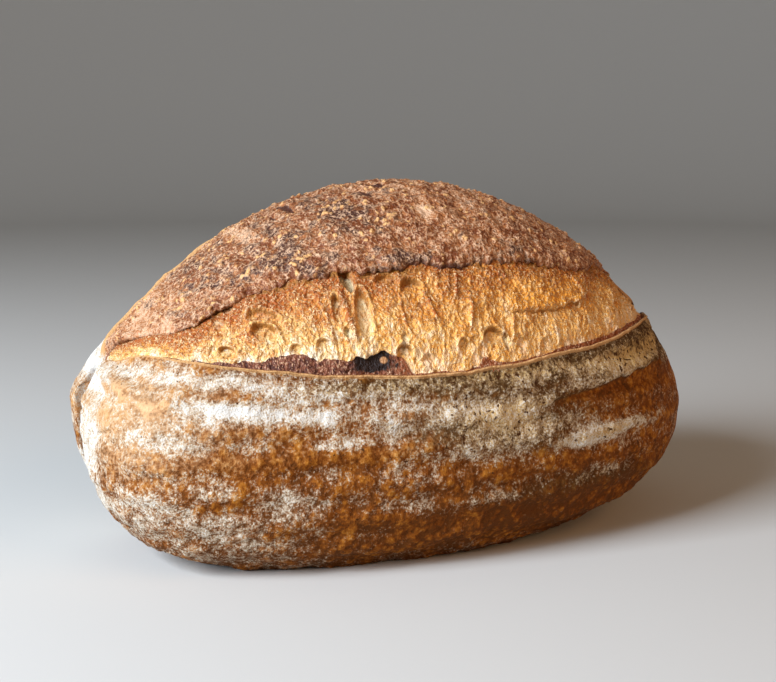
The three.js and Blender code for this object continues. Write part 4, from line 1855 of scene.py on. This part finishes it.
@dataclass(frozen=True)
class FlouredCrustFinish:
    """Baked wheat crust dusted with rice and wheat flour, from a proving basket.

    The flour is matt and near white and clings between the blisters, and the bare crust is a
    warm chestnut that turns amber on the blisters. Single grains of flour are too fine to show,
    so the finest pattern is 0.6 mm, the size of a small clump.
    """

    marks: tuple[str, ...] = ("flour", "blister", "dull", "flour_haze_and_painted_light", "smooth", "rim", "wall", "painted_shade_and_outline")
    clouds: tuple[Clouds, ...] = (
        Clouds("fine", 1.1, 2.0),
        Clouds("tiny", 0.6, 1.0),
        Clouds("clump", 2.3, 2.0),
        Clouds("cloud", 11.0, 3.0),
        Clouds("holes", 1.7, 1.0),
    )
    curl: float = 1.9
    # Bare crust: umber, chestnut, amber and honey
    skin: Ground = Ground(
        weights=(("cloud", 0.5), ("clump", 0.5), ("fine", 0.6), ("blister", 0.2), ("flour_haze_and_painted_light", 0.1)),
        # The haze mark lightens the tone as flour haze and painted light, and darkens it low on the flank
        # as painted shade
        offset=-0.33,
        stops=((0.34, "#5c320f"), (0.48, "#784010"), (0.68, "#a0631f"), (0.94, "#cb9142")),
    )
    # Heaped flour: grey where it is thin, then cream and white
    dust: Ground = Ground(
        weights=(("flour", 0.7), ("tiny", 0.8), ("clump", 0.4), ("flour_haze_and_painted_light", 0.06)),
        offset=-0.36,
        stops=((0.42, "#97856e"), (0.62, "#c6b69f"), (0.9, "#d3cfc8")),
    )
    dust_coats: tuple[Coat, ...] = (
        Coat("dull dust", "#bb985f", -0.9, 0.3, (("dull", 0.9), ("tiny", -1.5), ("clump", -0.5))),
    )
    coats: tuple[Coat, ...] = (
        # Pale wash that is part flour haze and part painted light on the lit left end
        Coat("flour haze and painted light on the skin", "#cda377", 0.78, 1.75, (("flour_haze_and_painted_light", 1.2), ("clump", 0.7), ("fine", 0.7))),
        Coat("dull skin", "#4a3116", 0.3, 0.8, (("dull", 0.6), ("clump", 0.5))),
        Coat("veil of flour", "#a88661", 0.72, 1.5, (("flour", 1.2), ("clump", 0.4), ("fine", 0.3))),
        Coat("lying flour", "dust", 1.6, 2.28, (
            ("fine", 1.2), ("tiny", 0.7), ("clump", 0.6), ("flour", 1.2),
            ("curls", 0.14), ("blister", -0.14),
        )),
        Coat("pits", "#44260f", 0.4, 0.28, (("holes", 1.0), ("dull", -0.1), ("clump", 0.2))),
        # Dark brown painted shade under the ledge and in the tuck, and the dark outlines of the smooth
        # bubbles
        Coat("painted shade and outline", "#44260f", 0.5, 1.4, (("painted_shade_and_outline", 1.0), ("fine", 0.5))),
        Coat("bubble skin", "#d9ab80", 0.9, 1.9, (("smooth", 1.0), ("fine", 0.5), ("clump", 0.6))),
        Coat("toasted lip", "#c29463", 0.6, 1.3, (("rim", 1.0), ("fine", 0.7))),
        Coat("charred wall", "#95603a", 0.1, 0.6, (("wall", 1.0),)),
    )
    relief: Weights = (("fine", 1.0), ("tiny", 0.5), ("clump", 0.8), ("lying flour", 0.15))
    bump: float = 0.42
    roughness: float = 0.8
    gloss: float = 0.1

    def make(self) -> bpy.types.Material:
        """Makes the material."""
        paint = Painter("baked_floured_crust")
        paint.gather(self.marks, self.clouds, paint.place)
        paint.patterns["curls"] = paint.curled_lines(self.curl)
        paint.patterns["dust"] = paint.build_up(self.dust, self.dust_coats)
        colour = paint.build_up(self.skin, self.coats)
        height = paint.weigh(self.relief)
        return paint.finish(colour, height, self.bump, self.roughness, self.gloss)


@dataclass(frozen=True)
class TornCrumbFinish:
    """Torn wheat crumb that baked in the open air.

    It is cream low down, where it opened last, golden in the middle and amber brown under the
    dome. The thin ridges have toasted darker than the hollows between them, and it has a low
    shine where the starch has set. The dark strip at its foot is red brown with tan flecks.
    """

    marks: tuple[str, ...] = (
        "climb", "ridge", "hollow", "shade", "silk", "tint", "char", "pocket", "blob",
    )
    fibres: tuple[Clouds, ...] = (Clouds("fine", 0.9, 2.0), Clouds("tiny", 0.5, 1.0))
    fibre_draw: tuple[float, float, float] = (1.0, 1.0, 0.45)
    clouds: tuple[Clouds, ...] = (Clouds("cloud", 7.0, 3.0), Clouds("fleck", 2.2, 2.0))
    curl: float = 1.5
    thread: float = 3.1
    # Crumb: cream, gold, amber and brown
    face: Ground = Ground(
        weights=(("climb", 0.6), ("cloud", 0.8), ("silk", 0.3), ("fine", 0.7), ("tint", -0.05)),
        offset=-0.62,
        stops=((0.1, "#f6e8d0"), (0.36, "#edbc70"), (0.68, "#d98c3a"), (0.98, "#97501c")),
    )
    # Strip at its foot: dark and red brown
    strip: Ground = Ground(
        weights=(("fine", 0.6), ("fleck", 0.5)), offset=0.0, stops=((0.44, "#451c10"), (0.62, "#824a32"))
    )
    strip_coats: tuple[Coat, ...] = (
        Coat("red strip", "#965026", 0.7, 1.2, (("tint", 0.9), ("fleck", 0.4))),
        Coat("tan flecks", "#c49a7a", 0.68, 0.82, (("tiny", 0.7), ("fine", 0.6))),
        # Painted shade: near black in the deep pocket of the strip
        Coat("painted shade in the pocket", "#22100b", 1.05, 1.35, (("pocket", 1.0), ("fleck", 1.0), ("fine", 0.6))),
        Coat("tan blob", "#b47f52", 0.35, 0.7, (("blob", 1.0),)),
    )
    coats: tuple[Coat, ...] = (
        Coat("golden", "#f0a23c", 0.55, 1.72, (("tint", 0.7), ("cloud", 0.5), ("fine", 0.4))),
        Coat("toasted ridges", "#9c4c12", 1.06, 1.8, (
            ("ridge", 0.5), ("climb", 0.7), ("fine", 1.0), ("cloud", 0.6), ("tint", -0.24),
        )),
        Coat("toasted threads", "#9c4c12", 0.95, 2.1, (("threads", 0.7), ("climb", 0.7), ("cloud", 0.6))),
        # Painted highlights: pale lines on the curled fibres and fine specks
        Coat("painted highlights on fibres", "#f5d6a4", 0.62, 1.2, (
            ("curls", 0.5), ("tiny", 0.7), ("ridge", 0.15), ("climb", -0.05),
        )),
        Coat("pale hollows", "#ecd8ac", 0.45, 1.2, (("hollow", 1.0), ("fine", 0.4))),
        # Painted shade under the arches' rims, the fold and the dome's edge, with the crumb's own toast
        # at the right end
        Coat("painted shade and right toast", "#9c6426", 0.4, 1.2, (("shade", 1.0), ("fine", 0.3))),
        Coat("charred strip", "strip", 0.35, 0.65, (("char", 1.0),)),
    )
    relief: Weights = (("fine", 0.9), ("tiny", 0.4), ("curls", 0.35), ("ridge", 0.3))
    bump: float = 0.7
    roughness: float = 0.6
    gloss: float = 0.35

    def make(self) -> bpy.types.Material:
        """Makes the material."""
        paint = Painter("torn_baked_crumb")
        drawn = paint.add("ShaderNodeMapping", {"Vector": paint.place, "Scale": self.fibre_draw})
        paint.gather(self.marks, self.clouds, paint.place)
        paint.gather((), self.fibres, drawn)
        paint.patterns["curls"] = paint.curled_lines(self.curl)
        paint.patterns["threads"] = paint.curled_lines(self.thread)
        paint.patterns["strip"] = paint.build_up(self.strip, self.strip_coats)
        colour = paint.build_up(self.face, self.coats)
        height = paint.weigh(self.relief)
        return paint.finish(colour, height, self.bump, self.roughness, self.gloss)


@dataclass(frozen=True)
class BrownedDomeFinish:
    """Baked wheat crust that opened early and browned deeply, with no flour on it.

    Small blisters stay tan and the curled ridges carry painted tan highlights; both shine a little.
    The hollows between them are red brown, and the scorched patches near the crest are a dark umber.
    """

    marks: tuple[str, ...] = ("blister", "worm", "scorch", "pale", "edge")
    clouds: tuple[Clouds, ...] = (
        Clouds("fine", 0.9, 2.0),
        Clouds("tiny", 0.5, 1.0),
        Clouds("clump", 3.0, 2.0),
        Clouds("cloud", 9.0, 3.0),
    )
    curl: float = 1.7
    # Russet, copper and tan
    crust: Ground = Ground(
        # The pale mark lifts the tone: pale patches, and painted light on the dome's left end
        weights=(("cloud", 0.8), ("clump", 0.7), ("fine", 0.7), ("pale", 0.32)),
        offset=-0.6,
        stops=((0.36, "#743a18"), (0.54, "#ac6d3f"), (0.8, "#dcb08c")),
    )
    coats: tuple[Coat, ...] = (
        Coat("scorched", "#4b291c", 1.05, 1.38, (
            ("scorch", 0.5), ("cloud", 0.9), ("clump", 1.1), ("blister", -0.4), ("pale", -0.3),
        )),
        # Painted highlights: tan on the curled ridges and the fine specks
        Coat("painted highlights on ridges", "#dcb08c", 0.78, 1.34, (
            ("worm", 0.3), ("curls", 0.3), ("clump", 0.6), ("fine", 0.7), ("pale", 0.2),
        )),
        Coat("golden blisters", "#dfab70", 0.4, 0.95, (("blister", 0.9), ("fine", 0.4))),
        # Burnt edge and pits, with painted shadow under the middle of the edge
        Coat("burnt edge and painted shadow", "#4a2414", 0.95, 1.5, (("edge", 1.0), ("fine", 0.7), ("clump", 0.6))),
    )
    relief: Weights = (("fine", 0.8), ("tiny", 0.4), ("curls", 0.35), ("clump", 0.4))
    bump: float = 0.6
    roughness: float = 0.5
    gloss: float = 0.36

    def make(self) -> bpy.types.Material:
        """Makes the material."""
        paint = Painter("browned_blistered_crust")
        paint.gather(self.marks, self.clouds, paint.place)
        paint.patterns["curls"] = paint.curled_lines(self.curl)
        colour = paint.build_up(self.crust, self.coats)
        height = paint.weigh(self.relief)
        return paint.finish(colour, height, self.bump, self.roughness, self.gloss)


@dataclass(frozen=True)
class FloorFinish:
    """Matt painted studio floor, pale and even."""

    colour: str = "#cbc9c5"
    grit: float = 2.0
    bump: float = 0.02
    roughness: float = 0.9
    gloss: float = 0.2

    def make(self) -> bpy.types.Material:
        """Makes the material."""
        paint = Painter("matt_painted_floor")
        inputs = {"Vector": paint.place, "Scale": per_metre(self.grit)}
        grit = paint.add("ShaderNodeTexNoise", inputs)
        return paint.finish(self.colour, grit, self.bump, self.roughness, self.gloss)


@dataclass(frozen=True)
class Lamp:
    """A square softbox: its place and size in metres, its power in watts and its colour."""

    name: str
    place: tuple[float, float, float]
    size: float
    power: float
    colour: str

    def turn_to(self, aim: tuple[float, float, float]) -> tuple[float, float, float]:
        """Turn that points the lamp at an aim."""
        across, deep, up = np.array(aim) - np.array(self.place)
        pitch = math.atan2(math.hypot(across, deep), -up)
        return pitch, 0.0, math.atan2(deep, across) - math.pi / 2


@dataclass(frozen=True)
class Studio:
    """A pale floor that curves up all round, two soft lamps, a dim sky and the camera.

    The floor, the lamps and their aim are in metres, and the camera's place in millimetres. Its
    focal length is given in pixels of a picture 776 pixels wide.
    """

    flat_radius: float = 1.6
    rim_radius: float = 0.9
    rim_steps: int = 16
    floor_steps: int = 64
    lamps: tuple[Lamp, ...] = (
        Lamp("key_softbox", (-1.0, -0.32, 0.6), 0.6, 30.0, "#e6f2ff"),
        Lamp("fill_softbox", (0.7, -1.0, 0.7), 0.9, 5.7, "#ffc484"),
    )
    aim: tuple[float, float, float] = (0.0, 0.0, 0.055)
    sky: str = "#d9d4cc"
    sky_strength: float = 0.2
    camera_place: tuple[float, float, float] = (-190.08, -493.78, 151.27)
    camera_turn: float = -20.9
    camera_pitch: float = 8.97
    focal_pixels: float = 1400.0
    picture_width: float = 776.0
    sensor_width: float = 36.0
    nearest: float = 0.01

    def build_floor(self) -> bpy.types.Object:
        """Spins a profile, flat and then curved up, into a wide dish.

        Returns:
            The floor, which is part of the stage.
        """
        shape = bmesh.new()
        middle = shape.verts.new((0.0, 0.0, 0.0))
        rim = shape.verts.new((self.flat_radius, 0.0, 0.0))
        shape.edges.new((middle, rim))
        bmesh.ops.spin(
            shape,
            geom=[rim],
            cent=(self.flat_radius, 0.0, self.rim_radius),
            axis=(0.0, -1.0, 0.0),
            angle=math.pi / 2,
            steps=self.rim_steps,
        )
        bmesh.ops.spin(
            shape,
            geom=shape.verts[:] + shape.edges[:],
            cent=(0.0, 0.0, 0.0),
            axis=(0.0, 0.0, 1.0),
            angle=2 * math.pi,
            steps=self.floor_steps,
            use_merge=True,
        )
        bmesh.ops.remove_doubles(shape, verts=shape.verts, dist=WELD)
        bmesh.ops.recalc_face_normals(shape, faces=shape.faces)
        for face in shape.faces:
            face.smooth = True
        mesh = bpy.data.meshes.new("studio_floor")
        shape.to_mesh(mesh)
        shape.free()
        mesh.materials.append(FloorFinish().make())
        floor = bpy.data.objects.new("studio_floor", mesh)
        bpy.context.scene.collection.objects.link(floor)
        return floor

    def build_lamps(self) -> None:
        """Hangs the softboxes and sets the dim sky."""
        for lamp in self.lamps:
            light = bpy.data.lights.new(lamp.name, "AREA")
            light.size = lamp.size
            light.energy = lamp.power
            light.color = linear(lamp.colour)[:3]
            holder = bpy.data.objects.new(lamp.name, light)
            holder.location = lamp.place
            holder.rotation_euler = lamp.turn_to(self.aim)
            bpy.context.scene.collection.objects.link(holder)
        world = bpy.data.worlds.new("studio_sky")
        world.use_nodes = True
        background = world.node_tree.nodes["Background"]
        background.inputs["Color"].default_value = linear(self.sky)
        background.inputs["Strength"].default_value = self.sky_strength
        bpy.context.scene.world = world

    def build_camera(self) -> None:
        """Sets the camera at the height and distance from which the loaf is seen."""
        camera = bpy.data.cameras.new("camera")
        camera.sensor_width = self.sensor_width
        camera.lens = self.focal_pixels * self.sensor_width / self.picture_width
        camera.clip_start = self.nearest
        holder = bpy.data.objects.new("camera", camera)
        holder.location = [part * MM for part in self.camera_place]
        pitch = math.pi / 2 - math.radians(self.camera_pitch)
        holder.rotation_euler = (pitch, 0.0, math.radians(self.camera_turn))
        bpy.context.scene.collection.objects.link(holder)
        bpy.context.scene.camera = holder
        bpy.context.scene.view_settings.view_transform = "Standard"


def main() -> None:
    """Builds the studio and the loaf in order."""
    logging.basicConfig(level=logging.INFO, format="%(name)s %(message)s")
    studio = Studio()
    studio.build_camera()
    floor = studio.build_floor()
    LOG.info("%s: %d faces", floor.name, len(floor.data.polygons))
    studio.build_lamps()
    body = LoafBody()
    score = Score(body)
    parts = (
        (FlouredCrust(body, score), FlouredCrustFinish()),
        (TornCrumb(body, score), TornCrumbFinish()),
        (BrownedDome(body, score), BrownedDomeFinish()),
    )
    for part, finish in parts:
        piece = part.build().make_object(finish.make())
        LOG.info("%s: %d faces", piece.name, len(piece.data.polygons))


if __name__ == "__main__":
    main()
